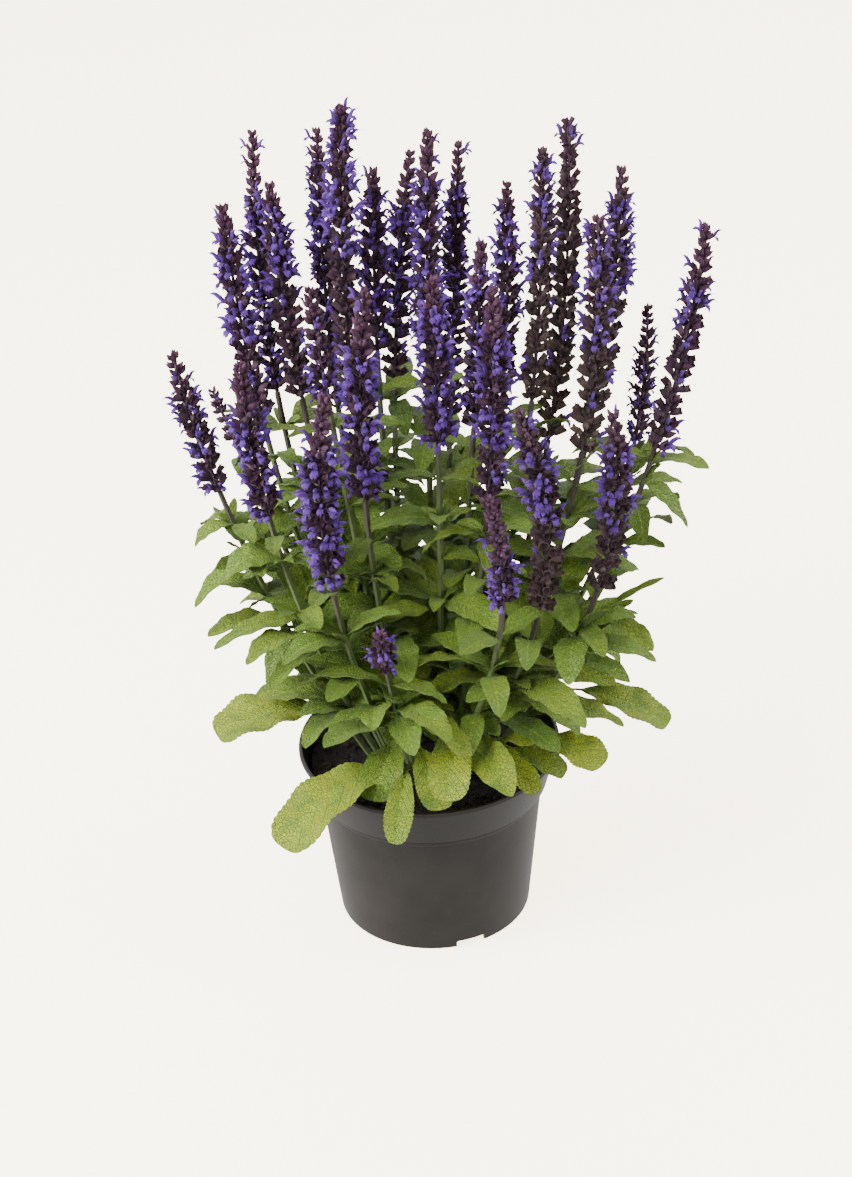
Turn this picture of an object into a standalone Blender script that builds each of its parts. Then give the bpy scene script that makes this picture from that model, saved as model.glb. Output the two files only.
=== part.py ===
# Perennial salvia in its nursery pot: pot, soil, leafy stems and flower spikes.
# Metres, +Z up, with the origin at the centre of the pot's underside. The front of the plant faces -Y.

import math
import random

import bmesh
import bpy
from mathutils import Matrix, Vector
from mathutils.bvhtree import BVHTree

MM = 0.001
UP = Vector((0.0, 0.0, 1.0))

# Pot, turned about Z
POT_HEIGHT = 0.138
POT_RIM_RADIUS = 0.095
POT_LIP_HEIGHT = 0.0036
POT_LIP_STEP = 0.0016
POT_COLLAR_DEPTH = 0.032
POT_COLLAR_FOOT_RADIUS = 0.0855
POT_BODY_TOP_RADIUS = 0.0818
POT_BASE_RADIUS = 0.0702
POT_WALL = 0.0020
POT_SKIRT = 0.0032
POT_FLOOR_RISE = 0.005
POT_DISC_RADIUS = 0.030
POT_DISC_SLOPE = 0.003
POT_COLLAR_LEDGE = 0.0008
POT_LIP_BEVEL = 0.0004
POT_SIDES = 32
NOTCH_COUNT = 3
NOTCH_WIDTH = 0.022
NOTCH_TOP_SHARE = 0.92
NOTCH_HEIGHT = 0.0055
NOTCH_INWARD = 0.0032
NOTCH_OUTWARD = 0.0048
NOTCH_FIRST_ANGLE = math.radians(-69.5)

# Soil, filling the pot to a little below the rim
SOIL_TOP = 0.124
SOIL_GAP = 0.0004
SOIL_RINGS = (0.045, 0.070)
SOIL_LUMP = 0.0022
HOLE_CLEARANCE = 0.0005

# Stems
STEM_FOOT_RADIUS = 0.0020
STEM_KNEE_RADIUS = 0.0017
STEM_SIDES = 5
STEM_SEGMENTS = 4
STEM_BURIED = 0.020
CLUMP_SHARE_X = 0.24
CLUMP_SHARE_Y = 0.30

# Flower spikes
SPIKE_SIDES = 5
SPIKE_NECK_RADIUS = 0.0019
SPIKE_NECK_TAPER = 0.3
SPIKE_CUP_RADIUS = 0.0062
SPIKE_CUP_TAPER = 0.55
SPIKE_CUP_TAPER_POWER = 3
SPIKE_JOINT_GAP = 0.0003
WHORL_PITCH_LOW = 0.0235
WHORL_PITCH_HIGH = 0.0145
WHORL_PITCH_FIXED = 0.35
WHORL_PITCH_BY_SIZE = 0.65
WHORL_HEIGHT_SHARE = 0.56
WHORL_CUP_SHARE = 0.96
FLORET_REACH_LOW = 0.0128
FLORET_REACH_HIGH = 0.0062
FLORET_REACH_POWER = 1.6
FLORET_LOWEST_SHARE = 0.8
FLORET_LIFT = 0.52
FLORET_JITTER = 0.10

# Leaves
LEAF_RIB_THICKNESS = 0.0017
LEAF_PETIOLE_HALF = 0.0013
LEAF_KEEL = 0.20
LEAF_WAVE = 0.06
LEAF_SCALLOP = 0.07
LEAF_MARGIN = 0.0010
LEAF_BALL_SHARE = 0.6
BLADE_START_BACK = 0.04
BLADE_FULLNESS = 1.60
BLADE_RISE = 0.55
BLADE_FALL = 0.45
BLADE_FIRST_ROW = 0.10
BLADE_ROW_SPAN = 0.80

# Opposite pairs on the stems: heights and lengths in metres, angles in degrees, spreads as (least, most)
PAIR_FIRST_HEIGHT = 0.168
PAIR_HIGHEST = 0.385
PAIR_WHORL_CLEARANCE = 0.010
PAIR_PITCH = 0.066
PAIR_PITCH_SPREAD = (0.9, 1.1)
PAIR_START_SPREAD = 0.6
PAIR_TWIST = 0.2
PAIR_LONGEST = 0.086
PAIR_SHORTEST = 0.044
PAIR_SHORTEST_HEIGHT = 0.42
PAIR_LENGTH_SPREAD = (0.85, 1.12)
PAIR_WIDTH_SHARE = 0.38
PAIR_AZIMUTH_SPREAD = 0.25
PAIR_RISE = (22.0, 48.0)
PAIR_DROOP = (-58.0, -8.0)
PAIR_ROLL = (-18.0, 18.0)
PAIR_STALK_LOW = 0.20
PAIR_STALK_HIGH = 0.10
PAIR_ROWS = 3

# How a leaf that touches something is bent aside: sizes, lifts and turns, tried in order
SETTLE_SIZES = (1.0, 0.84, 0.7)
SETTLE_LIFTS = (0.0, 16.0, -16.0, 32.0)
SETTLE_TURNS = (0.0, 13.0, -13.0, 26.0, -26.0, 39.0, -39.0)

# Feet that stand a little aside of the clump's rule, by stem number, in millimetres
FOOT_NUDGES = {
    5: (2, 4),
    9: (-2, 0),
    12: (-3, 3),
    13: (2, -1),
    15: (3, 1),
    19: (-6, -3),
    25: (4, 8),
    28: (0, -2),
}

# Each stem in millimetres: the lowest whorl's place, the tip's place, and the florets' size
STEMS = (
    ((-136, -21, 364), (-160, -30, 478), 0.90),
    ((-126, 34, 372), (-140, 40, 411), 0.62),
    ((-105, 14, 400), (-122, 20, 560), 1.00),
    ((-95, 44, 405), (-101, 66, 592), 0.86),
    ((-77, 21, 411), (-90, 30, 570), 1.00),
    ((-102, -57, 364), (-112, -80, 492), 1.00),
    ((-56, 60, 422), (-58, 86, 584), 0.86),
    ((-42, 19, 410), (-40, 30, 624), 1.02),
    ((-24, 45, 432), (-21, 60, 561), 0.95),
    ((-62, -77, 323), (-57, -125, 491), 1.05),
    ((-36, -49, 368), (-29, -75, 539), 1.05),
    ((-13, 69, 396), (5, 100, 557), 0.90),
    ((11, 35, 439), (17, 50, 596), 0.95),
    ((25, 55, 373), (38, 86, 571), 0.90),
    ((15, -44, 406), (15, -60, 537), 1.00),
    ((40, -5, 396), (49, -5, 538), 0.92),
    ((62, 38, 399), (69, 56, 551), 0.90),
    ((47, -47, 355), (54, -75, 537), 1.00),
    ((54, -93, 307), (45, -135, 415), 0.84),
    ((81, 14, 405), (92, 20, 588), 0.95),
    ((93, 38, 361), (112, 66, 589), 1.02),
    ((122, 33, 371), (147, 52, 558), 1.02),
    ((114, -4, 373), (127, -4, 550), 1.05),
    ((165, 5, 367), (200, 8, 535), 0.98),
    ((154, 46, 350), (165, 62, 452), 0.70),
    ((121, -50, 289), (130, -85, 447), 1.00),
    ((80, -63, 283), (67, -115, 467), 1.08),
    ((-27, -84, 252), (-30, -112, 300), 0.80),
    ((-58, -20, 429), (-66, -30, 518), 0.86),
)

# Leaves set by hand: stem, share of the way from its foot to its lowest whorl, tip in
# millimetres, rise of the arch, width, length share of the stalk, cross-rows of the blade
PLACED_LEAVES = (
    (1, 0.20, (-150, -42, 176), 26, 42, 0.42, 6),
    (28, 0.10, (-104, -122, 133), 46, 48, 0.40, 6),
    (11, 0.12, (-34, -110, 152), 34, 27, 0.40, 5),
    (28, 0.16, (-4, -137, 143), 38, 20, 0.36, 6),
    (15, 0.12, (17, -113, 146), 34, 22, 0.36, 5),
    (18, 0.22, (33, -122, 167), 30, 31, 0.34, 6),
    (27, 0.12, (76, -92, 146), 28, 25, 0.38, 5),
    (26, 0.22, (120, -78, 160), 22, 32, 0.36, 6),
    (24, 0.20, (170, -44, 170), 30, 33, 0.36, 6),
    (24, 0.90, (187, -8, 312), 14, 19, 0.12, 4),
    (24, 0.95, (196, 30, 338), 16, 14, 0.12, 4),
    (25, 0.86, (188, 44, 318), 12, 16, 0.12, 4),
    (26, 0.80, (168, -42, 292), 9, 11, 0.14, 4),
    (26, 0.66, (160, -68, 240), 22, 25, 0.14, 5),
    (26, 0.56, (150, -34, 262), 14, 23, 0.14, 5),
    (1, 0.78, (-158, -44, 286), 12, 19, 0.14, 4),
    (6, 0.62, (-146, -62, 262), 16, 24, 0.14, 5),
    (1, 0.90, (-152, 4, 324), 10, 18, 0.14, 4),
    (1, 0.52, (-112, -36, 212), 14, 17, 0.20, 4),
    (28, 0.42, (-72, -118, 214), 22, 30, 0.20, 5),
    (27, 0.55, (108, -108, 214), 24, 30, 0.16, 5),
    (28, 0.62, (14, -126, 220), 20, 27, 0.18, 5),
    (12, 0.12, (-14, 124, 146), 34, 32, 0.38, 5),
    (14, 0.14, (52, 116, 150), 34, 28, 0.38, 5),
    (4, 0.14, (-86, 88, 152), 32, 32, 0.38, 5),
    (25, 0.20, (122, 74, 158), 30, 30, 0.38, 5),
)

# Colours: base colour, roughness
COLOURS = {
    "pot": ((0.030, 0.028, 0.027), 0.42),
    "soil": ((0.022, 0.014, 0.010), 0.95),
    "stem": ((0.110, 0.200, 0.055), 0.62),
    "spike": ((0.045, 0.022, 0.060), 0.58),
}


def clear_scene():
    for item in list(bpy.data.objects):
        bpy.data.objects.remove(item, do_unlink=True)


def make_material(name, kind):
    colour, roughness = COLOURS[kind]
    material = bpy.data.materials.new(name)
    material.use_nodes = True
    shader = material.node_tree.nodes["Principled BSDF"]
    shader.inputs["Base Color"].default_value = (*colour, 1.0)
    shader.inputs["Roughness"].default_value = roughness
    shader.inputs["Metallic"].default_value = 0.0
    return material


def add_object(name, vertices, faces, kind=None):
    mesh = bpy.data.meshes.new(name)
    mesh.from_pydata([tuple(v) for v in vertices], [], faces)
    work = bmesh.new()
    work.from_mesh(mesh)
    bmesh.ops.recalc_face_normals(work, faces=work.faces)
    work.to_mesh(mesh)
    work.free()
    item = bpy.data.objects.new(name, mesh)
    bpy.context.scene.collection.objects.link(item)
    if kind:
        mesh.materials.append(make_material(name, kind))
    return item


def apply_boolean(item, operation, tools):
    """Cuts or joins item with all the tools at once, then removes the tools."""
    group = bpy.data.collections.new("tools")
    bpy.context.scene.collection.children.link(group)
    for tool in tools:
        bpy.context.scene.collection.objects.unlink(tool)
        group.objects.link(tool)
        tool.hide_render = True
        tool.display_type = "WIRE"
    modifier = item.modifiers.new("tools", "BOOLEAN")
    modifier.operation = operation
    modifier.operand_type = "COLLECTION"
    modifier.collection = group
    modifier.solver = "EXACT"
    graph = bpy.context.evaluated_depsgraph_get()
    mesh = bpy.data.meshes.new_from_object(item.evaluated_get(graph), depsgraph=graph)
    item.modifiers.clear()
    item.data = mesh
    for tool in list(group.objects):
        bpy.data.objects.remove(tool, do_unlink=True)
    bpy.data.collections.remove(group)


# Turned shapes


def turned(profile, sides):
    """Vertices and faces of a profile of (radius, height) points turned about Z, on the axis at both ends."""
    vertices = [Vector((0.0, 0.0, profile[0][1]))]
    for radius, height in profile[1:-1]:
        for k in range(sides):
            angle = 2.0 * math.pi * k / sides
            vertices.append(Vector((radius * math.cos(angle), radius * math.sin(angle), height)))
    vertices.append(Vector((0.0, 0.0, profile[-1][1])))
    faces = []
    last = len(vertices) - 1
    rings = len(profile) - 2
    for k in range(sides):
        n = (k + 1) % sides
        faces.append((0, 1 + n, 1 + k))
        for ring in range(rings - 1):
            low = 1 + ring * sides
            high = low + sides
            faces.append((low + k, low + n, high + n, high + k))
        top = 1 + (rings - 1) * sides
        faces.append((top + k, top + n, last))
    return vertices, faces


def pot_collar_radius(height):
    """Outer radius of the collar under the lip, at a height."""
    foot = POT_HEIGHT - POT_COLLAR_DEPTH
    top = POT_HEIGHT - POT_LIP_HEIGHT
    share = (height - foot) / (top - foot)
    return POT_COLLAR_FOOT_RADIUS + share * (POT_RIM_RADIUS - POT_LIP_STEP - POT_COLLAR_FOOT_RADIUS)


def pot_collar_inside(height):
    """Inner radius of the collar, at a height."""
    foot = POT_HEIGHT - POT_COLLAR_DEPTH + POT_WALL
    share = (height - foot) / (POT_HEIGHT - foot)
    inner_foot = POT_COLLAR_FOOT_RADIUS - POT_WALL
    return inner_foot + share * (pot_collar_radius(POT_HEIGHT) - POT_WALL - inner_foot)


def pot_body_radius(height):
    """Outer radius of the body under the collar, at a height."""
    share = height / (POT_HEIGHT - POT_COLLAR_DEPTH)
    return POT_BASE_RADIUS + share * (POT_BODY_TOP_RADIUS - POT_BASE_RADIUS)


def pot_profile():
    collar_foot = POT_HEIGHT - POT_COLLAR_DEPTH
    lip_foot = POT_HEIGHT - POT_LIP_HEIGHT
    floor_top = POT_FLOOR_RISE + POT_WALL
    skirt_inside = POT_BASE_RADIUS - POT_SKIRT
    disc_edge = POT_DISC_RADIUS + POT_DISC_SLOPE
    return [
        (0.0, 0.0),
        (POT_DISC_RADIUS, 0.0),
        (disc_edge, POT_FLOOR_RISE),
        (skirt_inside, POT_FLOOR_RISE),
        (skirt_inside, 0.0),
        (POT_BASE_RADIUS, 0.0),
        (POT_BODY_TOP_RADIUS, collar_foot - POT_COLLAR_LEDGE),
        (POT_COLLAR_FOOT_RADIUS, collar_foot),
        (pot_collar_radius(lip_foot), lip_foot),
        (POT_RIM_RADIUS, lip_foot + POT_LIP_BEVEL),
        (POT_RIM_RADIUS, POT_HEIGHT),
        (pot_collar_inside(POT_HEIGHT), POT_HEIGHT),
        (POT_COLLAR_FOOT_RADIUS - POT_WALL, collar_foot + POT_WALL),
        (POT_BODY_TOP_RADIUS - POT_WALL, collar_foot - POT_COLLAR_LEDGE + POT_WALL * 0.5),
        (pot_body_radius(floor_top) - POT_WALL, floor_top),
        (disc_edge + POT_WALL * 0.5, floor_top),
        (POT_DISC_RADIUS + POT_WALL * 0.5, POT_WALL),
        (0.0, POT_WALL),
    ]


def notch_cutter(number):
    angle = NOTCH_FIRST_ANGLE + 2.0 * math.pi * number / NOTCH_COUNT
    turn = Matrix.Rotation(angle, 4, "Z")
    inner = POT_BASE_RADIUS - POT_SKIRT - NOTCH_INWARD
    outer = POT_BASE_RADIUS + NOTCH_OUTWARD
    half_width_low = NOTCH_WIDTH * 0.5
    corners = []
    for z, half in ((-NOTCH_HEIGHT, half_width_low), (NOTCH_HEIGHT, half_width_low * NOTCH_TOP_SHARE)):
        for x, y in ((inner, -half), (outer, -half), (outer, half), (inner, half)):
            corners.append(turn @ Vector((x, y, z)))
    faces = [(0, 3, 2, 1), (4, 5, 6, 7), (0, 1, 5, 4), (1, 2, 6, 5), (2, 3, 7, 6), (3, 0, 4, 7)]
    return add_object("notch_%d" % number, corners, faces)


def make_pot():
    vertices, faces = turned(pot_profile(), POT_SIDES)
    pot = add_object("pot", vertices, faces, "pot")
    apply_boolean(pot, "DIFFERENCE", [notch_cutter(k) for k in range(NOTCH_COUNT)])
    return pot


def soil_profile():
    """The soil's outline from the top centre down the pot's inside to the bottom centre."""
    collar_foot = POT_HEIGHT - POT_COLLAR_DEPTH
    floor_top = POT_FLOOR_RISE + POT_WALL
    gap = SOIL_GAP
    edge_height = SOIL_TOP - SOIL_LUMP
    rings = [(radius, SOIL_TOP) for radius in SOIL_RINGS]
    return [(0.0, floor_top + gap)] + [
        (pot_body_radius(floor_top) - POT_WALL - 2.0 * gap, floor_top + gap),
        (POT_BODY_TOP_RADIUS - POT_WALL - 2.0 * gap, collar_foot),
        (pot_collar_inside(edge_height) - 2.0 * gap, edge_height),
    ] + rings[::-1] + [(0.0, SOIL_TOP)]


def make_soil(stems):
    vertices, faces = turned(soil_profile(), POT_SIDES)
    draw = random.Random(11)
    for vertex in vertices:
        if vertex.z > SOIL_TOP - SOIL_LUMP * 0.5:
            vertex.z += draw.uniform(-SOIL_LUMP, SOIL_LUMP)
    soil = add_object("soil", vertices, faces, "soil")
    apply_boolean(soil, "DIFFERENCE", [hole_cutter(stem) for stem in stems])
    return soil


# Stems


def stem_route(number):
    """Foot, lowest whorl and tip of a stem, with the share of its length that lies below the whorl."""
    row = STEMS[number - 1]
    knee = Vector(row[0]) * MM
    tip = Vector(row[1]) * MM
    nudge = Vector((*FOOT_NUDGES.get(number, (0, 0)), 0)) * MM
    foot = Vector((tip.x * CLUMP_SHARE_X, tip.y * CLUMP_SHARE_Y, SOIL_TOP)) + nudge
    below = (knee - foot).length
    share = below / (below + (tip - knee).length)
    return foot, knee, tip, share


def stem_point(route, t):
    """The smooth curve through foot, lowest whorl and tip, for t from 0 to 1."""
    foot, knee, tip, s = route
    return (
        foot * ((t - s) * (t - 1.0) / s)
        + knee * (t * (t - 1.0) / (s * (s - 1.0)))
        + tip * (t * (t - s) / (1.0 - s))
    )


def stem_direction(route, t):
    step = 0.01
    return (stem_point(route, t + step) - stem_point(route, t - step)).normalized()


def ring(centre, along, radius, sides, turn=0.0):
    """Points round a centre, square to a direction, counted from the +X side."""
    across = (Vector((1.0, 0.0, 0.0)) - along * along.x).normalized()
    other = along.cross(across)
    points = []
    for k in range(sides):
        angle = turn + 2.0 * math.pi * k / sides
        points.append(centre + (across * math.cos(angle) + other * math.sin(angle)) * radius)
    return points


def tube(centres, directions, radii, sides):
    vertices = []
    for centre, along, radius in zip(centres, directions, radii):
        vertices += ring(centre, along, radius, sides)
    faces = [tuple(range(sides))[::-1]]
    for low in range(0, len(vertices) - sides, sides):
        for k in range(sides):
            n = (k + 1) % sides
            faces.append((low + k, low + n, low + sides + n, low + sides + k))
    faces.append(tuple(range(len(vertices) - sides, len(vertices))))
    return vertices, faces


def stem_tube(route, extra=0.0):
    """The bare stem from its buried end to the lowest whorl, or with extra the hole it stands in."""
    foot, _, _, share = route
    first = stem_direction(route, 0.0)
    centres = [foot - first * (STEM_BURIED + extra), foot]
    directions = [first, first]
    radii = [STEM_FOOT_RADIUS, STEM_FOOT_RADIUS]
    for k in range(1, STEM_SEGMENTS + 1):
        part = k / STEM_SEGMENTS
        centres.append(stem_point(route, share * part))
        directions.append(stem_direction(route, share * part))
        radii.append(STEM_FOOT_RADIUS + part * (STEM_KNEE_RADIUS - STEM_FOOT_RADIUS))
    if extra:
        centres = centres[:3]
        directions = directions[:3]
        radii = [radius + extra for radius in radii[:3]]
    return tube(centres, directions, radii, STEM_SIDES)


def hole_cutter(stem):
    vertices, faces = stem_tube(stem["route"], HOLE_CLEARANCE)
    return add_object("hole_" + stem["name"], vertices, faces)


# Flower spikes


def whorl_places(length, size):
    """Where each whorl starts along the spike, and how far up the spike that is, from 0 to 1."""
    places = []
    along = 0.0
    while True:
        u = along / length
        pitch = WHORL_PITCH_LOW + u * (WHORL_PITCH_HIGH - WHORL_PITCH_LOW)
        pitch *= WHORL_PITCH_FIXED + WHORL_PITCH_BY_SIZE * size
        if along + pitch > length:
            return places
        places.append((along, pitch, u))
        along += pitch


def spike_mesh(stem):
    """A slim axis with a cup at each whorl, and a pointed floret raised from each face of the cup."""
    route = stem["route"]
    size = stem["size"]
    draw = random.Random(100 + stem["number"])
    share = route[3]
    length = (route[2] - route[1]).length - SPIKE_JOINT_GAP
    first_t = share + (1.0 - share) * SPIKE_JOINT_GAP / length
    vertices = ring(stem_point(route, first_t), stem_direction(route, share), STEM_KNEE_RADIUS, SPIKE_SIDES)
    faces = [tuple(range(SPIKE_SIDES))[::-1]]
    turn = 0.0
    for start, pitch, u in whorl_places(length, size):
        taper = 1.0 - SPIKE_CUP_TAPER * u ** SPIKE_CUP_TAPER_POWER
        turn += math.pi / SPIKE_SIDES
        for along, radius in (
            (start + pitch * (1.0 - WHORL_HEIGHT_SHARE), SPIKE_NECK_RADIUS * (1.0 - SPIKE_NECK_TAPER * u)),
            (start + pitch * WHORL_CUP_SHARE, SPIKE_CUP_RADIUS * taper * size),
        ):
            t = share + (1.0 - share) * (along + SPIKE_JOINT_GAP) / length
            vertices += ring(stem_point(route, t), stem_direction(route, t), radius, SPIKE_SIDES, turn)
        add_strip(faces, len(vertices) - 3 * SPIKE_SIDES, len(vertices) - 2 * SPIKE_SIDES, SPIKE_SIDES)
        reach = FLORET_REACH_LOW + u ** FLORET_REACH_POWER * (FLORET_REACH_HIGH - FLORET_REACH_LOW)
        if start == 0.0:
            reach *= FLORET_LOWEST_SHARE
        raise_florets(vertices, faces, reach * size, draw)
    vertices.append(stem_point(route, 1.0))
    top = len(vertices) - 1
    for k in range(SPIKE_SIDES):
        n = (k + 1) % SPIKE_SIDES
        faces.append((top - SPIKE_SIDES + k, top - SPIKE_SIDES + n, top))
    return vertices, faces


def add_strip(faces, low, high, sides):
    """Triangles between a ring and the one above it, which is turned by half a side."""
    for k in range(sides):
        n = (k + 1) % sides
        faces.append((low + k, low + n, high + k))
        faces.append((low + n, high + n, high + k))


def raise_florets(vertices, faces, reach, draw):
    """Turns each face between the last two rings into a pointed floret."""
    sides = SPIKE_SIDES
    low = len(vertices) - 2 * sides
    high = low + sides
    for k in range(sides):
        n = (k + 1) % sides
        corners = (low + k, low + n, high + n, high + k)
        middle = sum((vertices[c] for c in corners), Vector()) / 4.0
        axis = sum(vertices[low:high], Vector()) / sides
        crown = sum(vertices[high:high + sides], Vector()) / sides
        upward = (crown - axis).normalized()
        outward = middle - axis
        outward = (outward - upward * outward.dot(upward)).normalized()
        length = reach * (1.0 + draw.uniform(-FLORET_JITTER, FLORET_JITTER))
        lift = FLORET_LIFT + draw.uniform(-FLORET_JITTER, FLORET_JITTER)
        centre = axis + upward * (middle - axis).dot(upward)
        vertices.append(centre + outward * length + upward * length * lift)
        tip = len(vertices) - 1
        for a, b in zip(corners, corners[1:] + corners[:1]):
            faces.append((a, b, tip))
    # The last ring is listed again at the end, so that the next whorl joins on to it
    reorder_ring_last(vertices, faces, high, sides)


def reorder_ring_last(vertices, faces, start, sides):
    """Moves a ring to the end of the vertex list and renumbers the faces to match."""
    count = len(vertices)
    moved = vertices[start:start + sides]
    del vertices[start:start + sides]
    vertices += moved
    for index, face in enumerate(faces):
        faces[index] = tuple(renumber(v, start, sides, count) for v in face)


def renumber(v, start, sides, count):
    if v < start:
        return v
    if v < start + sides:
        return v + count - start - sides
    return v - sides


# Leaves


def half_width(leaf, s):
    """Half the blade's width at a share s of its length, with the stalk as a narrow start."""
    stalk = leaf["stalk"]
    u = max(0.0, (s - stalk) / (1.0 - stalk))
    blade = BLADE_FULLNESS * u ** BLADE_RISE * (1.0 - u) ** BLADE_FALL if u < 1.0 else 0.0
    return max(LEAF_PETIOLE_HALF, leaf["width"] * 0.5 * blade)


def leaf_frame(leaf, s):
    """A point on the midrib, the direction to the leaf's left edge, and the upper face's normal."""
    base, control, tip = leaf["base"], leaf["control"], leaf["tip"]
    point = base * (1.0 - s) ** 2 + control * 2.0 * s * (1.0 - s) + tip * s ** 2
    along = ((control - base) * (1.0 - s) + (tip - control) * s).normalized()
    side = UP.cross(tip - base).normalized()
    side = Matrix.Rotation(math.radians(leaf["roll"]), 3, along) @ side
    normal = along.cross(side).normalized()
    return point, side, normal


def leaf_rows(leaf):
    """Shares of the length at which the blade has a cross-row of points."""
    stalk = leaf["stalk"]
    count = leaf["rows"]
    shares = [BLADE_FIRST_ROW + BLADE_ROW_SPAN * k / (count - 1) for k in range(count)]
    return [stalk + (1.0 - stalk) * share for share in shares]


def edge_points(leaf, s, row):
    """Left and right edge at a cross-row, scalloped and waved."""
    point, side, normal = leaf_frame(leaf, s)
    half = half_width(leaf, s)
    swing = 1.0 if row % 2 else -1.0
    keel = normal * half * LEAF_KEEL
    wave = normal * leaf["width"] * LEAF_WAVE * swing
    reach = half * (1.0 + LEAF_SCALLOP * swing)
    return point + side * reach + keel + wave, point - side * reach + keel - wave


def leaf_mesh(leaf, margin=0.0, first=0):
    """A thin waved blade, closed, with its two faces split alike. A margin makes it fatter."""
    thick = LEAF_RIB_THICKNESS * 0.5 + margin
    rows = leaf_rows(leaf)[first:]
    start = leaf["base"] if first == 0 else leaf_frame(leaf, rows[0] - BLADE_START_BACK)[0]
    vertices = [start]
    for index, s in enumerate(rows):
        point, side, normal = leaf_frame(leaf, s)
        left, right = edge_points(leaf, s, index + first)
        vertices += [left + side * margin, point + normal * thick]
        vertices += [right - side * margin, point - normal * thick]
    vertices.append(leaf["tip"])
    faces = []
    for k in range(4):
        n = (k + 1) % 4
        faces.append((0, 1 + k, 1 + n))
        for row in range(len(rows) - 1):
            low = 1 + 4 * row
            high = low + 4
            rib, edge = (k, n) if k % 2 else (n, k)
            faces.append((low + rib, low + edge, high + edge))
            faces.append((low + rib, high + edge, high + rib))
        top = len(vertices) - 5
        faces.append((top + k, len(vertices) - 1, top + n))
    return vertices, faces


def bent_aside(leaf, size, lift, turn):
    """The same leaf made smaller, lifted and turned about its foot on the stem."""
    base = leaf["base"]
    side = UP.cross(leaf["tip"] - base).normalized()
    move = Matrix.Rotation(math.radians(turn), 3, "Z") @ Matrix.Rotation(math.radians(-lift), 3, side)
    bent = dict(leaf)
    bent["control"] = base + move @ (leaf["control"] - base) * size
    bent["tip"] = base + move @ (leaf["tip"] - base) * size
    bent["width"] = leaf["width"] * size
    return bent


def placed_leaf(stems, row):
    number, share, tip, arch, width, stalk, rows = row
    stem = stems[number - 1]
    base = stem_point(stem["route"], stem["route"][3] * share)
    tip = Vector(tip) * MM
    control = (base + tip) * 0.5 + UP * arch * MM
    return {"stem": stem, "base": base, "control": control, "tip": tip, "roll": 0.0,
            "width": width * MM, "stalk": stalk, "rows": rows}


def stem_leaves(stem):
    """Opposite pairs of leaves up a stem, each pair square to the last, smaller towards the top."""
    draw = random.Random(500 + stem["number"])
    foot, knee, _, share = stem["route"]
    heading = draw.uniform(0.0, math.pi)
    height = PAIR_FIRST_HEIGHT + draw.uniform(0.0, PAIR_START_SPREAD) * PAIR_PITCH
    leaves = []
    while height < min(knee.z - PAIR_WHORL_CLEARANCE, PAIR_HIGHEST):
        up = (height - foot.z) / (knee.z - foot.z)
        base = stem_point(stem["route"], share * up)
        young = min(1.0, (height - PAIR_FIRST_HEIGHT) / (PAIR_SHORTEST_HEIGHT - PAIR_FIRST_HEIGHT))
        for side in (0, 1):
            length = PAIR_LONGEST + young * (PAIR_SHORTEST - PAIR_LONGEST)
            length *= draw.uniform(*PAIR_LENGTH_SPREAD)
            azimuth = heading + math.pi * side + draw.uniform(-PAIR_AZIMUTH_SPREAD, PAIR_AZIMUTH_SPREAD)
            rise = math.radians(draw.uniform(*PAIR_RISE))
            droop = math.radians(draw.uniform(*PAIR_DROOP))
            out = Vector((math.cos(azimuth), math.sin(azimuth), 0.0))
            control = base + (out * math.cos(rise) + UP * math.sin(rise)) * length * 0.5
            tip = control + (out * math.cos(droop) + UP * math.sin(droop)) * length * 0.5
            stalk = PAIR_STALK_LOW + young * (PAIR_STALK_HIGH - PAIR_STALK_LOW)
            leaves.append({"stem": stem, "base": base, "control": control, "tip": tip,
                           "roll": draw.uniform(*PAIR_ROLL), "width": length * PAIR_WIDTH_SHARE,
                           "stalk": stalk, "rows": PAIR_ROWS})
        heading += math.pi * 0.5 + draw.uniform(-PAIR_TWIST, PAIR_TWIST)
        height += PAIR_PITCH * draw.uniform(*PAIR_PITCH_SPREAD)
    return leaves


def bvh(shape):
    vertices, faces = shape
    return BVHTree.FromPolygons([tuple(v) for v in vertices], faces)


def reach_of(leaf):
    """Centre and radius of a ball that holds the whole leaf."""
    centre = (leaf["base"] + leaf["tip"]) * 0.5
    radius = max((p - centre).length for p in (leaf["base"], leaf["tip"], leaf["control"]))
    return centre, radius + leaf["width"] * LEAF_BALL_SHARE


def is_clear(leaf, settled, fixed):
    """Whether a leaf misses the pot, the soil, other stems, all spikes and all settled leaves."""
    whole = bvh(leaf_mesh(leaf, LEAF_MARGIN))
    blade = bvh(leaf_mesh(leaf, LEAF_MARGIN, 1))
    centre, radius = reach_of(leaf)
    for owner, tree in fixed:
        tester = blade if owner == leaf["stem"]["number"] else whole
        if tester.overlap(tree):
            return False
    for other, tree, other_centre, other_radius in settled:
        if (other_centre - centre).length < radius + other_radius:
            same = other["stem"]["number"] == leaf["stem"]["number"]
            tester = blade if same else whole
            if tester.overlap(tree):
                return False
    return True


def settle(leaf, settled, fixed):
    """Bends a leaf aside until it is clear, and keeps it, or drops it where nothing is clear."""
    for size in SETTLE_SIZES:
        for lift in SETTLE_LIFTS:
            for turn in SETTLE_TURNS:
                bent = bent_aside(leaf, size, lift, turn)
                if is_clear(bent, settled, fixed):
                    centre, radius = reach_of(bent)
                    settled.append((bent, bvh(leaf_mesh(bent)), centre, radius))
                    return


def object_shape(item):
    return [v.co for v in item.data.vertices], [tuple(p.vertices) for p in item.data.polygons]


# The whole plant


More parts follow.
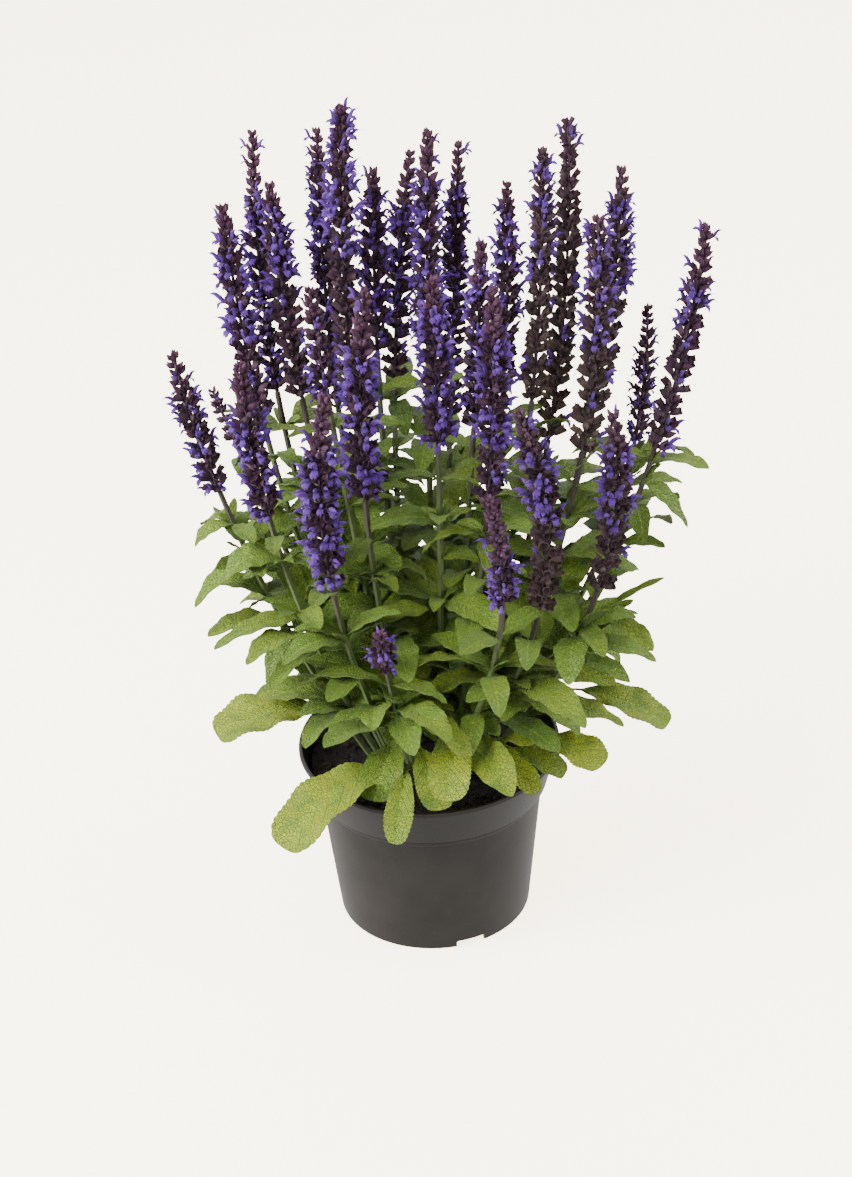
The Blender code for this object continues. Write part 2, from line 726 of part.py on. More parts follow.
def main():
    clear_scene()
    stems = []
    for index, row in enumerate(STEMS):
        number = index + 1
        stems.append({"number": number, "name": "%02d" % number, "route": stem_route(number), "size": row[2]})
    pot = make_pot()
    soil = make_soil(stems)
    fixed = [(0, bvh(object_shape(pot))), (0, bvh(object_shape(soil)))]
    for stem in stems:
        vertices, faces = spike_mesh(stem)
        add_object("spike_" + stem["name"], vertices, faces, "spike")
        fixed.append((0, bvh((vertices, faces))))
        fixed.append((stem["number"], bvh(stem_tube(stem["route"]))))
    settled = []
    for row in PLACED_LEAVES:
        settle(placed_leaf(stems, row), settled, fixed)
    hopeful = [leaf for stem in stems for leaf in stem_leaves(stem)]
    for leaf in sorted(hopeful, key=lambda one: one["base"].z):
        settle(leaf, settled, fixed)
    for stem in stems:
        vertices, faces = stem_tube(stem["route"])
        item = add_object("stem_" + stem["name"], vertices, faces, "stem")
        own = [entry[0] for entry in settled if entry[0]["stem"] is stem]
        blades = [add_object("leaf", *leaf_mesh(leaf)) for leaf in own]
        if blades:
            apply_boolean(item, "UNION", blades)


main()
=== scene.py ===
import math
import random

import bpy
import numpy as np
from mathutils import Matrix, Vector, kdtree, noise


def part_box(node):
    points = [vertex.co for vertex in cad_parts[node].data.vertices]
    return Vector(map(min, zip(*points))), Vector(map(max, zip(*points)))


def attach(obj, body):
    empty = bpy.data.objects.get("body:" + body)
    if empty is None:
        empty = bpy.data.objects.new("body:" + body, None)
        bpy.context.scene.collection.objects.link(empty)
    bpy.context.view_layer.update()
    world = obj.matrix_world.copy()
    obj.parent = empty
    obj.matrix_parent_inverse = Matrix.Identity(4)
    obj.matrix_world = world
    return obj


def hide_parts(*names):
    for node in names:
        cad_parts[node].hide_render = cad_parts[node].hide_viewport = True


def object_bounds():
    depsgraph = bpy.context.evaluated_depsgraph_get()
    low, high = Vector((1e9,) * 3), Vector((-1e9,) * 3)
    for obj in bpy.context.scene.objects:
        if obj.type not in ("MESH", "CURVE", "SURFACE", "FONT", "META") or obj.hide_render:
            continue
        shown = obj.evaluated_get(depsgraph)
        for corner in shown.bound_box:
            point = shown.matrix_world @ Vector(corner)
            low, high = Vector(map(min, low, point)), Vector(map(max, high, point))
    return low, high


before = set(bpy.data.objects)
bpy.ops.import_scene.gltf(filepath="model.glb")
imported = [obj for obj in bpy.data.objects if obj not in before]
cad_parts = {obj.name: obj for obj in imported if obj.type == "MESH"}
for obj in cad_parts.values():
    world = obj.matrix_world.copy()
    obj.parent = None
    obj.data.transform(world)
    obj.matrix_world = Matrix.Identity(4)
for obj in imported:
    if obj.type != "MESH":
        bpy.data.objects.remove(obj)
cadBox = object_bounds()
print("frame loaded:", len(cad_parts), "nodes")

mm = 0.001
upAxis = Vector((0.0, 0.0, 1.0))


# small helpers for working by hand in object and edit mode
def toMode(mode):
    bpy.ops.object.mode_set(mode=mode)


def deselectAll():
    if bpy.context.object and bpy.context.object.mode != "OBJECT":
        toMode("OBJECT")
    bpy.ops.object.select_all(action="DESELECT")


def useOnly(piece):
    deselectAll()
    piece.select_set(True)
    bpy.context.view_layer.objects.active = piece


def applyAll(piece):
    useOnly(piece)
    for modifier in list(piece.modifiers):
        bpy.ops.object.modifier_apply(modifier=modifier.name)


def thicken(sheet, thickness):
    wall = sheet.modifiers.new("wall", "SOLIDIFY")
    wall.thickness = thickness
    wall.offset = 0.0
    applyAll(sheet)
    tidyNormals(sheet)


def tidyNormals(piece):
    useOnly(piece)
    toMode("EDIT")
    bpy.ops.mesh.select_all(action="SELECT")
    bpy.ops.mesh.remove_doubles(threshold=1e-6)
    bpy.ops.mesh.normals_make_consistent(inside=False)
    toMode("OBJECT")


def finishPiece(piece, name, nodes, material, angle=60):
    useOnly(piece)
    piece.name = name
    bpy.ops.object.transform_apply()
    bpy.ops.object.shade_smooth_by_angle(angle=math.radians(angle))
    piece.data.materials.clear()
    piece.data.materials.append(material)
    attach(piece, "root")
    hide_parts(*nodes)


def spread(draw, reach):
    return draw.uniform(-reach, reach)


# a copy of a shape is laid down many times, and every copy keeps its own points in one mesh
class Pile:
    def __init__(self, name):
        self.name = name
        self.points, self.corners, self.starts, self.uvs = [], [], [], []
        self.marks = {"tone": [], "age": [], "shade": []}
        self.pointCount = self.cornerCount = 0

    def lay(self, shape, places, tone=0.5, age=0.0, shade=0.0):
        count = len(places)
        self.points.append(places)
        self.corners.append(shape["corners"] + self.pointCount)
        self.starts.append(shape["starts"] + self.cornerCount)
        self.uvs.append(shape["uv"])
        for key, value in (("tone", tone), ("age", age), ("shade", shade)):
            self.marks[key].append(np.full(count, value, float))
        self.pointCount += count
        self.cornerCount += len(shape["corners"])

    def piece(self):
        mesh = bpy.data.meshes.new(self.name)
        corners = np.concatenate(self.corners).astype(np.int32)
        mesh.vertices.add(self.pointCount)
        mesh.vertices.foreach_set("co", np.concatenate(self.points).astype(np.float32).ravel())
        mesh.loops.add(len(corners))
        mesh.loops.foreach_set("vertex_index", corners)
        starts = np.concatenate(self.starts).astype(np.int32)
        mesh.polygons.add(len(starts))
        mesh.polygons.foreach_set("loop_start", starts)
        mesh.update(calc_edges=True)
        mesh.validate()
        sheet = mesh.uv_layers.new(name="UVMap")
        sheet.data.foreach_set("uv", np.concatenate(self.uvs).astype(np.float32).ravel())
        for key, values in self.marks.items():
            layer = mesh.attributes.new(key, "FLOAT", "POINT")
            layer.data.foreach_set("value", np.concatenate(values).astype(np.float32))
        made = bpy.data.objects.new(self.name, mesh)
        bpy.context.scene.collection.objects.link(made)
        return made


def readShape(piece, uvFrom):
    # a modelled master is read once: its points, its faces, and a UV worked out from its points
    mesh = piece.data
    points = np.empty(len(mesh.vertices) * 3)
    mesh.vertices.foreach_get("co", points)
    corners = np.empty(len(mesh.loops), np.int64)
    mesh.loops.foreach_get("vertex_index", corners)
    starts = np.empty(len(mesh.polygons), np.int64)
    mesh.polygons.foreach_get("loop_start", starts)
    points = points.reshape(-1, 3)
    bpy.data.objects.remove(piece)
    return {"points": points, "corners": corners, "starts": starts, "uv": uvFrom(points)[corners]}


def growTube(name, sides, rings, turn=0.0):
    # a capped ring pulled out ring by ring: each is (x, z, half width x, half width y, lean in degrees)
    x, z, halfX, halfY, lean = rings[0]
    deselectAll()
    bpy.ops.mesh.primitive_circle_add(vertices=sides, radius=1.0, fill_type="NGON", location=(x, 0.0, z),
                                      rotation=(math.pi, 0, turn))
    piece = bpy.context.object
    piece.name = name
    piece.scale = (halfX, halfY, 1.0)
    bpy.ops.object.transform_apply()
    toMode("EDIT")
    bpy.ops.mesh.select_all(action="SELECT")
    for nextX, nextZ, nextHalfX, nextHalfY, nextLean in rings[1:]:
        bpy.ops.mesh.extrude_region_move(TRANSFORM_OT_translate={"value": (nextX - x, 0.0, nextZ - z)})
        centre = (nextX, 0.0, nextZ)
        if lean:
            bpy.ops.transform.rotate(value=math.radians(lean), orient_axis="Y", center_override=centre)
        bpy.ops.transform.resize(value=(nextHalfX / halfX, nextHalfY / halfY, 1.0), center_override=centre)
        if nextLean:
            bpy.ops.transform.rotate(value=math.radians(-nextLean), orient_axis="Y", center_override=centre)
        x, z, halfX, halfY, lean = nextX, nextZ, nextHalfX, nextHalfY, nextLean
    toMode("OBJECT")
    tidyNormals(piece)
    return piece


def joinPieces(pieces):
    useOnly(pieces[0])
    for other in pieces[1:]:
        other.select_set(True)
    bpy.ops.object.join()
    return bpy.context.object


# shader sums are written as plain Python sums
class Wire:
    def __init__(self, look, socket):
        self.look, self.socket = look, socket

    def sum(self, operation, *others):
        return self.look.maths(operation, self, *others)

    def __add__(self, other): return self.sum("ADD", other)
    def __radd__(self, other): return self.sum("ADD", other)
    def __sub__(self, other): return self.sum("SUBTRACT", other)
    def __rsub__(self, other): return self.look.maths("SUBTRACT", other, self)
    def __mul__(self, other): return self.sum("MULTIPLY", other)
    def __rmul__(self, other): return self.sum("MULTIPLY", other)
    def absolute(self): return self.sum("ABSOLUTE")
    def sine(self): return self.sum("SINE")
    def fraction(self): return self.sum("FRACT")

    def clamp(self):
        return self.look.add("ShaderNodeClamp", {}, {0: self})

    def between(self, low, high):
        return self.look.add("ShaderNodeMapRange", {"interpolation_type": "SMOOTHSTEP"}, {0: self, 1: low, 2: high})


class Look:
    def __init__(self, name):
        self.material = bpy.data.materials.new(name)
        self.material.use_nodes = True
        self.tree = self.material.node_tree
        self.shader = self.tree.nodes["Principled BSDF"]
        self.place = self.add("ShaderNodeTexCoord", {}, {}, "Object")

    def add(self, kind, settings, values, output=0):
        node = self.tree.nodes.new(kind)
        for key, setting in settings.items():
            setattr(node, key, setting)
        for key, value in values.items():
            self.feed(node.inputs[key], value)
        return Wire(self, node.outputs[output])

    def feed(self, socket, value):
        if isinstance(value, Wire):
            self.tree.links.new(value.socket, socket)
        elif hasattr(value, "__len__") and len(value) == 3 and socket.type == "RGBA":
            socket.default_value = (*value, 1.0)
        else:
            socket.default_value = value

    def maths(self, operation, *values):
        return self.add("ShaderNodeMath", {"operation": operation}, dict(enumerate(values)))

    def mark(self, name):
        return self.add("ShaderNodeAttribute", {"attribute_name": name}, {}, "Fac")

    def uv(self):
        sheet = self.add("ShaderNodeUVMap", {"uv_map": "UVMap"}, {})
        split = self.add("ShaderNodeSeparateXYZ", {}, {0: sheet})
        return split, Wire(self, split.socket.node.outputs["Y"])

    def noise(self, scale, detail=3.0, rough=0.55):
        values = {"Vector": self.place, "Scale": scale, "Detail": detail, "Roughness": rough}
        return self.add("ShaderNodeTexNoise", {}, values)

    def cells(self, scale, feature="F1"):
        values = {"Vector": self.place, "Scale": scale}
        return self.add("ShaderNodeTexVoronoi", {"feature": feature}, values, "Distance")

    def mix(self, share, first, second):
        # a Mix node keeps its colours on sockets 6 and 7, and gives the mixed colour on 2
        return self.add("ShaderNodeMix", {"data_type": "RGBA"}, {0: share, 6: first, 7: second}, 2)

    def bump(self, height, strength, distance):
        return self.add("ShaderNodeBump", {}, {"Height": height, "Strength": strength, "Distance": distance})

    def done(self, **values):
        for key, value in values.items():
            self.feed(self.shader.inputs[key.replace("_", " ")], value)
        return self.material


potPaint = {
    "dark": (0.0196, 0.0163, 0.013), "pale": (0.0275, 0.023, 0.0182), "scuffed": (0.075, 0.07, 0.066), "scuff": 0.25,
    "rough": 0.27, "cloudRough": 0.08, "scuffRough": 0.12,
}


def potLook():
    look = Look("pot satin plastic")
    cloud = look.noise(22.0, 4.0).between(0.35, 0.7)
    grain = look.noise(1400.0, 2.0)
    scuff = look.noise(90.0, 6.0, 0.7).between(0.62, 0.75)
    colour = look.mix(cloud, potPaint["dark"], potPaint["pale"])
    colour = look.mix(scuff * potPaint["scuff"], colour, potPaint["scuffed"])
    rough = cloud * potPaint["cloudRough"] + scuff * potPaint["scuffRough"] + potPaint["rough"]
    bump = look.bump(grain, 0.12, 0.0004)
    return look.done(Base_Color=colour, Roughness=rough, Normal=bump, Specular_IOR_Level=0.5)


soilPaint = {"wet": (0.003, 0.002, 0.0015), "dry": (0.02, 0.012, 0.0075), "bark": (0.034, 0.019, 0.011)}


def soilLook():
    look = Look("potting soil")
    grit = look.noise(420.0, 5.0, 0.7)
    clods = look.cells(260.0)
    colour = look.mix(grit.between(0.35, 0.7), soilPaint["wet"], soilPaint["dry"])
    colour = look.mix(look.noise(150.0, 4.0, 0.6).between(0.58, 0.72), colour, soilPaint["bark"])
    height = grit * 0.6 + clods * 0.6
    return look.done(Base_Color=colour, Roughness=0.93, Normal=look.bump(height, 0.8, 0.0012))


leafPaint = {
    "deep": (0.04, 0.084, 0.008), "fresh": (0.118, 0.212, 0.014), "grey": (0.078, 0.158, 0.05),
    "vein": (0.19, 0.305, 0.024), "yellow": (0.215, 0.262, 0.006), "under": (0.13, 0.205, 0.045),
    "net": 0.5, "sideVein": 0.32, "midVein": 0.65, "bump": 0.0019,
}


def leafLook():
    look = Look("wrinkled sage leaf")
    across, along = look.uv()
    tone, age, under = look.mark("tone"), look.mark("age"), look.mark("shade")
    wide = (across * 2.0 - 1.0).absolute()
    rank = (along * leafShape["veins"] - wide * leafShape["veinSlant"]).fraction()
    side = 1.0 - (rank - 0.5).absolute() * 2.0
    sideVein = 1.0 - side.between(0.0, 0.22)
    midVein = 1.0 - wide.between(0.02, 0.1)
    net = 1.0 - look.cells(400.0, "DISTANCE_TO_EDGE").between(0.0, 0.13)
    cloud = look.noise(46.0, 3.0)
    colour = look.mix((tone * 0.75 + cloud * 0.5 - 0.12).clamp(), leafPaint["deep"], leafPaint["fresh"])
    colour = look.mix(look.noise(18.0, 2.0).between(0.5, 0.8) * 0.4, colour, leafPaint["grey"])
    colour = look.mix((age * 1.6 * look.noise(70.0, 4.0).between(0.25, 0.6)).clamp(), colour, leafPaint["yellow"])
    for name, line in (("net", net), ("sideVein", sideVein), ("midVein", midVein)):
        colour = look.mix(line * leafPaint[name], colour, leafPaint["vein"])
    colour = look.mix(under * 0.7, colour, leafPaint["under"])
    height = 1.0 - net * 0.5 - sideVein * 0.4 + look.noise(500.0, 2.0) * 0.25
    bump = look.bump(height, 1.0, leafPaint["bump"])
    return look.done(Base_Color=colour, Roughness=0.52, Normal=bump, Sheen_Weight=0.05, Specular_IOR_Level=0.3)


stemPaint = {"dark": (0.066, 0.1, 0.024), "pale": (0.112, 0.158, 0.044), "upper": (0.036, 0.02, 0.024)}


def stemLook():
    look = Look("green stem")
    tone, high = look.mark("tone"), look.mark("shade")
    streak = look.noise(300.0, 3.0)
    colour = look.mix(streak, stemPaint["dark"], stemPaint["pale"])
    colour = look.mix((high.between(0.55, 1.0) * (tone * 0.7 + 0.5)).clamp(), colour, stemPaint["upper"])
    bump = look.bump(look.noise(1200.0), 0.3, 0.0003)
    return look.done(Base_Color=colour, Roughness=0.6, Normal=bump, Sheen_Weight=0.04)


calyxPaint = {
    "dark": (0.029, 0.01, 0.026), "pale": (0.074, 0.024, 0.061), "spentDark": (0.046, 0.031, 0.022),
    "spentPale": (0.108, 0.076, 0.052), "red": (0.056, 0.006, 0.026), "rib": (0.08, 0.04, 0.072), "ribs": 10.0,
}


def calyxLook():
    look = Look("ribbed calyx")
    paint = calyxPaint
    tone, spent = look.mark("tone"), look.mark("age")
    rib = (look.uv()[0] * (2.0 * math.pi * paint["ribs"])).sine() * 0.5 + 0.5
    colour = look.mix(tone, paint["dark"], paint["pale"])
    colour = look.mix(spent, colour, look.mix(tone, paint["spentDark"], paint["spentPale"]))
    colour = look.mix(look.mark("shade") * 0.7, colour, paint["red"])
    colour = look.mix(rib * 0.18, colour, paint["rib"])
    return look.done(Base_Color=colour, Roughness=0.62, Normal=look.bump(rib, 0.5, 0.0004), Sheen_Weight=0.04,
                     Specular_IOR_Level=0.3)


corollaPaint = {
    "dark": (0.045, 0.011, 0.122), "pale": (0.104, 0.03, 0.272), "edge": (0.15, 0.042, 0.38),
    "velvet": (0.02, 0.003, 0.062),
}


def corollaLook():
    look = Look("violet blue corolla")
    velvet = look.noise(700.0, 2.0)
    colour = look.mix(look.mark("tone"), corollaPaint["dark"], corollaPaint["pale"])
    colour = look.mix(look.uv()[1].between(0.55, 1.0) * 0.3, colour, corollaPaint["edge"])
    colour = look.mix(velvet.between(0.45, 0.7) * 0.35, colour, corollaPaint["velvet"])
    return look.done(Base_Color=colour, Roughness=0.55, Normal=look.bump(velvet, 0.3, 0.0004), Sheen_Weight=0.1,
                     Specular_IOR_Level=0.25)


# each stem, as in the solids: lowest whorl and tip in millimetres, and the florets' size, then where the
# corollas are open along the spike, what share is open there, and how spent the calyces are
stemRows = (
    ((-136, -21, 364), (-160, -30, 478), 0.9, (0.0, 0.68), 0.75, 0.1),
    ((-126, 34, 372), (-140, 40, 411), 0.62, (0.0, 0.1), 0.2, 0.1),
    ((-105, 14, 400), (-122, 20, 560), 1.0, (0.36, 0.82), 0.85, 0.1),
    ((-95, 44, 405), (-101, 66, 592), 0.86, (0.05, 0.7), 0.8, 0.1),
    ((-77, 21, 411), (-90, 30, 570), 1.0, (0.4, 0.88), 0.85, 0.2),
    ((-102, -57, 364), (-112, -80, 492), 1.0, (0.0, 0.64), 0.9, 0.1),
    ((-56, 60, 422), (-58, 86, 584), 0.86, (0.0, 0.86), 0.85, 0.1),
    ((-42, 19, 410), (-40, 30, 624), 1.02, (0.5, 1.0), 0.9, 0.3),
    ((-24, 45, 432), (-21, 60, 561), 0.95, (0.05, 0.86), 0.85, 0.1),
    ((-62, -77, 323), (-57, -125, 491), 1.05, (0.0, 0.66), 0.9, 0.1),
    ((-36, -49, 368), (-29, -75, 539), 1.05, (0.0, 0.7), 0.95, 0.1),
    ((-13, 69, 396), (5, 100, 557), 0.9, (0.1, 0.75), 0.8, 0.2),
    ((11, 35, 439), (17, 50, 596), 0.95, (0.0, 0.74), 0.85, 0.1),
    ((25, 55, 373), (38, 86, 571), 0.9, (0.3, 0.8), 0.8, 0.2),
    ((15, -44, 406), (15, -60, 537), 1.0, (0.0, 0.8), 0.9, 0.1),
    ((40, -5, 396), (49, -5, 538), 0.92, (0.1, 0.75), 0.75, 0.2),
    ((62, 38, 399), (69, 56, 551), 0.9, (0.2, 0.88), 0.8, 0.3),
    ((47, -47, 355), (54, -75, 537), 1.0, (0.3, 0.76), 0.8, 0.1),
    ((54, -93, 307), (45, -135, 415), 0.84, (0.0, 0.42), 0.75, 0.0),
    ((81, 14, 405), (92, 20, 588), 0.95, (0.55, 0.98), 0.8, 0.7),
    ((93, 38, 361), (112, 66, 589), 1.02, (0.9, 1.0), 0.95, 0.8),
    ((122, 33, 371), (147, 52, 558), 1.02, (0.52, 0.88), 0.85, 0.6),
    ((114, -4, 373), (127, -4, 550), 1.05, (0.42, 0.94), 0.75, 0.7),
    ((165, 5, 367), (200, 8, 535), 0.98, (0.48, 0.82), 0.85, 0.2),
    ((154, 46, 350), (165, 62, 452), 0.7, (0.0, 0.52), 0.7, 0.2),
    ((121, -50, 289), (130, -85, 447), 1.0, (0.32, 0.8), 0.75, 0.5),
    ((80, -63, 283), (67, -115, 467), 1.08, (0.52, 0.86), 0.8, 0.6),
    ((-27, -84, 252), (-30, -112, 300), 0.8, (0.0, 0.62), 0.62, 0.0),
    ((-58, -20, 429), (-66, -30, 518), 0.86, (0.0, 0.45), 0.8, 0.1),
)
footNudges = {5: (2, 4), 9: (-2, 0), 12: (-3, 3), 13: (2, -1), 15: (3, 1), 19: (-6, -3), 25: (4, 8), 28: (0, -2)}
clumpShare = (0.24, 0.3)
soilTop = 0.124


def stemRoute(number):
    row = stemRows[number - 1]
    knee, tip = Vector(row[0]) * mm, Vector(row[1]) * mm
    nudge = Vector((*footNudges.get(number, (0, 0)), 0)) * mm
    foot = Vector((tip.x * clumpShare[0], tip.y * clumpShare[1], soilTop)) + nudge
    below = (knee - foot).length
    return foot, knee, tip, below / (below + (tip - knee).length)


def stemPoint(route, t):
    foot, knee, tip, s = route
    return (
        foot * ((t - s) * (t - 1.0) / s)
        + knee * (t * (t - 1.0) / (s * (s - 1.0)))
        + tip * (t * (t - s) / (1.0 - s))
    )


def stemDirection(route, t):
    return (stemPoint(route, t + 0.01) - stemPoint(route, t - 0.01)).normalized()


# leaves settle by the same rule as in the solids, and a leaf is at the posture whose tip the solid has
leafRule = {
    "longest": 0.086, "shortest": 0.044, "widthShare": 0.38, "pitch": 0.066, "first": 0.168, "highest": 0.385,
    "startSpread": 0.6, "belowKnee": 0.01, "youngFrom": 0.42, "sizeSpread": (0.85, 1.12), "aside": 0.25,
    "lift": (22.0, 48.0), "droop": (-58.0, -8.0), "roll": 18.0, "quarterSpread": 0.2, "pitchSpread": (0.9, 1.1),
    "sizes": (1.0, 0.84, 0.7), "lifts": (0.0, 16.0, -16.0, 32.0),
    "turns": (0.0, 13.0, -13.0, 26.0, -26.0, 39.0, -39.0), "found": 2e-5, "basalBelow": 0.3,
}
leafShape = {
    "stalkHalf": 0.0012, "thick": 0.00045, "stalkThick": 0.0017, "veins": 9.0, "veinSlant": 2.0, "toothDepth": 0.075,
    "toothRound": 0.6, "uneven": 0.03, "keel": 0.18, "puff": 0.0006, "groove": 0.0008, "grooveHalf": 0.13,
    "ripple": 0.0017, "rippleAt": 0.03, "frills": 19.0, "waves": 4.0,
    "outline": {"large": (0.8, 0.32, 1.92), "stem": (0.44, 0.62, 1.78)},
    "grids": {"large": (8, 88, 21.0), "middle": (6, 26, 8.0), "small": (4, 14, 5.0), "tuft": (3, 10, 4.0)},
    "tipCrowd": 1.35,
}
# leaves placed one by one: stem, how far up it, tip in millimetres, arch, width, and the share that is stalk
placedLeaves = (
    (1, 0.2, (-150, -42, 176), 26, 48, 0.18),
    (28, 0.1, (-104, -122, 133), 46, 50, 0.22),
    (11, 0.12, (-34, -110, 152), 34, 27, 0.4),
    (28, 0.16, (-4, -137, 143), 38, 20, 0.36),
    (15, 0.12, (17, -113, 146), 34, 22, 0.36),
    (18, 0.22, (33, -122, 167), 30, 31, 0.34),
    (27, 0.12, (76, -92, 146), 28, 25, 0.38),
    (26, 0.22, (120, -78, 160), 22, 32, 0.36),
    (24, 0.2, (170, -44, 170), 30, 33, 0.36),
    (24, 0.9, (187, -8, 312), 14, 19, 0.12),
    (24, 0.95, (196, 30, 338), 16, 14, 0.12),
    (25, 0.86, (188, 44, 318), 12, 16, 0.12),
    (26, 0.8, (168, -42, 292), 9, 11, 0.14),
    (26, 0.66, (160, -68, 240), 22, 25, 0.14),
    (26, 0.56, (150, -34, 262), 14, 23, 0.14),
    (1, 0.78, (-158, -44, 286), 12, 19, 0.14),
    (6, 0.62, (-146, -62, 262), 16, 24, 0.14),
    (1, 0.9, (-152, 4, 324), 10, 18, 0.14),
    (1, 0.52, (-112, -36, 212), 14, 17, 0.2),
    (28, 0.42, (-72, -118, 214), 22, 30, 0.2),
    (27, 0.55, (108, -108, 214), 24, 30, 0.16),
    (28, 0.62, (14, -126, 220), 20, 27, 0.18),
    (12, 0.12, (-14, 124, 146), 34, 32, 0.38),
    (14, 0.14, (52, 116, 150), 34, 28, 0.38),
    (4, 0.14, (-86, 88, 152), 32, 32, 0.38),
    (25, 0.2, (122, 74, 158), 30, 30, 0.38),
)

# leaves in the same form that only the scene has: the last value is how yellow they are
sceneLeaves = (
    (6, 0.12, (-68, -30, 163), 24, 27, 0.34, 0.4),
    (11, 0.14, (-40, -92, 149), 30, 31, 0.32, 0.15),
    (6, 0.34, (-82, -40, 219), 8, 14, 0.15, 1.5),
    (27, 0.22, (73, -78, 182), 10, 15, 0.2, 1.3),
    (12, 0.14, (-48, 96, 158), 30, 27, 0.34, 0.3),
    (17, 0.14, (84, 84, 160), 30, 26, 0.34, 0.4),
)


def placedLeaf(row):
    number, share, tip, arch, width, stalk = row[:6]
    route = stemRoute(number)
    base = stemPoint(route, route[3] * share)
    tip = Vector(tip) * mm
    control = (base + tip) * 0.5 + upAxis * arch * mm
    basal = share < leafRule["basalBelow"]
    return {"stem": number, "base": base, "control": control, "tip": tip, "roll": 0.0, "width": width * mm,
            "stalk": stalk, "kind": "large" if basal else "middle", "tone": (0.5 if basal else 0.3, 0.9),
            "age": (0.35, 0.75) if basal else (0.0, 0.35)}


def sceneLeaf(row):
    return {**placedLeaf(row), "tone": (0.3, 0.7), "age": (row[6], row[6])}


def bowedLeaf(draw, rule, number, base, azimuth, length, **more):
    lift, droop = (math.radians(draw.uniform(*rule[key])) for key in ("lift", "droop"))
    out = Vector((math.cos(azimuth), math.sin(azimuth), 0.0))
    control = base + (out * math.cos(lift) + upAxis * math.sin(lift)) * length * 0.5
    tip = control + (out * math.cos(droop) + upAxis * math.sin(droop)) * length * 0.5
    return {"stem": number, "base": base, "control": control, "tip": tip, "width": length * rule["widthShare"],
            "roll": spread(draw, rule["roll"]), **more}


def stemLeaves(number):
    draw = random.Random(500 + number)
    rule = leafRule
    route = stemRoute(number)
    foot, knee, _, share = route
    heading = draw.uniform(0.0, math.pi)
    height = rule["first"] + draw.uniform(0.0, rule["startSpread"]) * rule["pitch"]
    leaves = []
    while height < min(knee.z - rule["belowKnee"], rule["highest"]):
        rise = (height - foot.z) / (knee.z - foot.z)
        base = stemPoint(route, share * rise)
        young = min(1.0, (height - rule["first"]) / (rule["youngFrom"] - rule["first"]))
        old = 1.0 - young
        for side in (0, 1):
            length = rule["longest"] + young * (rule["shortest"] - rule["longest"])
            length *= draw.uniform(*rule["sizeSpread"])
            azimuth = heading + math.pi * side + spread(draw, rule["aside"])
            leaves.append(bowedLeaf(draw, rule, number, base, azimuth, length, stalk=0.1 + 0.1 * old,
                                    kind="middle", tone=(0.1 + 0.2 * old, 0.8), age=(0.0, 0.2 + 0.3 * old)))
        heading += math.pi * 0.5 + spread(draw, rule["quarterSpread"])
        height += rule["pitch"] * draw.uniform(*rule["pitchSpread"])
    return leaves


def bentAside(leaf, size, lift, turn):
    base = leaf["base"]
    side = upAxis.cross(leaf["tip"] - base).normalized()
    move = Matrix.Rotation(math.radians(turn), 3, "Z") @ Matrix.Rotation(math.radians(-lift), 3, side)
    return {**leaf, "control": base + move @ (leaf["control"] - base) * size,
            "tip": base + move @ (leaf["tip"] - base) * size, "width": leaf["width"] * size}


def settledLeaf(leaf, tree):
    for size in leafRule["sizes"]:
        for lift in leafRule["lifts"]:
            for turn in leafRule["turns"]:
                bent = bentAside(leaf, size, lift, turn)
                if tree.find(bent["tip"])[2] < leafRule["found"]:
                    return bent
    return None


def nodeTree(name):
    points = [v.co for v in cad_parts[name].data.vertices]
    tree = kdtree.KDTree(len(points))
    for index, point in enumerate(points):
        tree.insert(point, index)
    tree.balance()
    return tree


# a leaf is modelled once for each size, as a flat sheet with a lower face, and bent along its midrib for each copy
def leafMaster(across, along, teeth):
    deselectAll()
    bpy.ops.mesh.primitive_grid_add(x_subdivisions=across, y_subdivisions=along, size=2.0)
    sheet = bpy.context.object
    thicken(sheet, 0.02)
    shape = readShape(sheet, lambda p: np.stack([p[:, 0] * 0.5 + 0.5, p[:, 1] * 0.5 + 0.5], 1))
    shape["teeth"] = teeth
    return shape


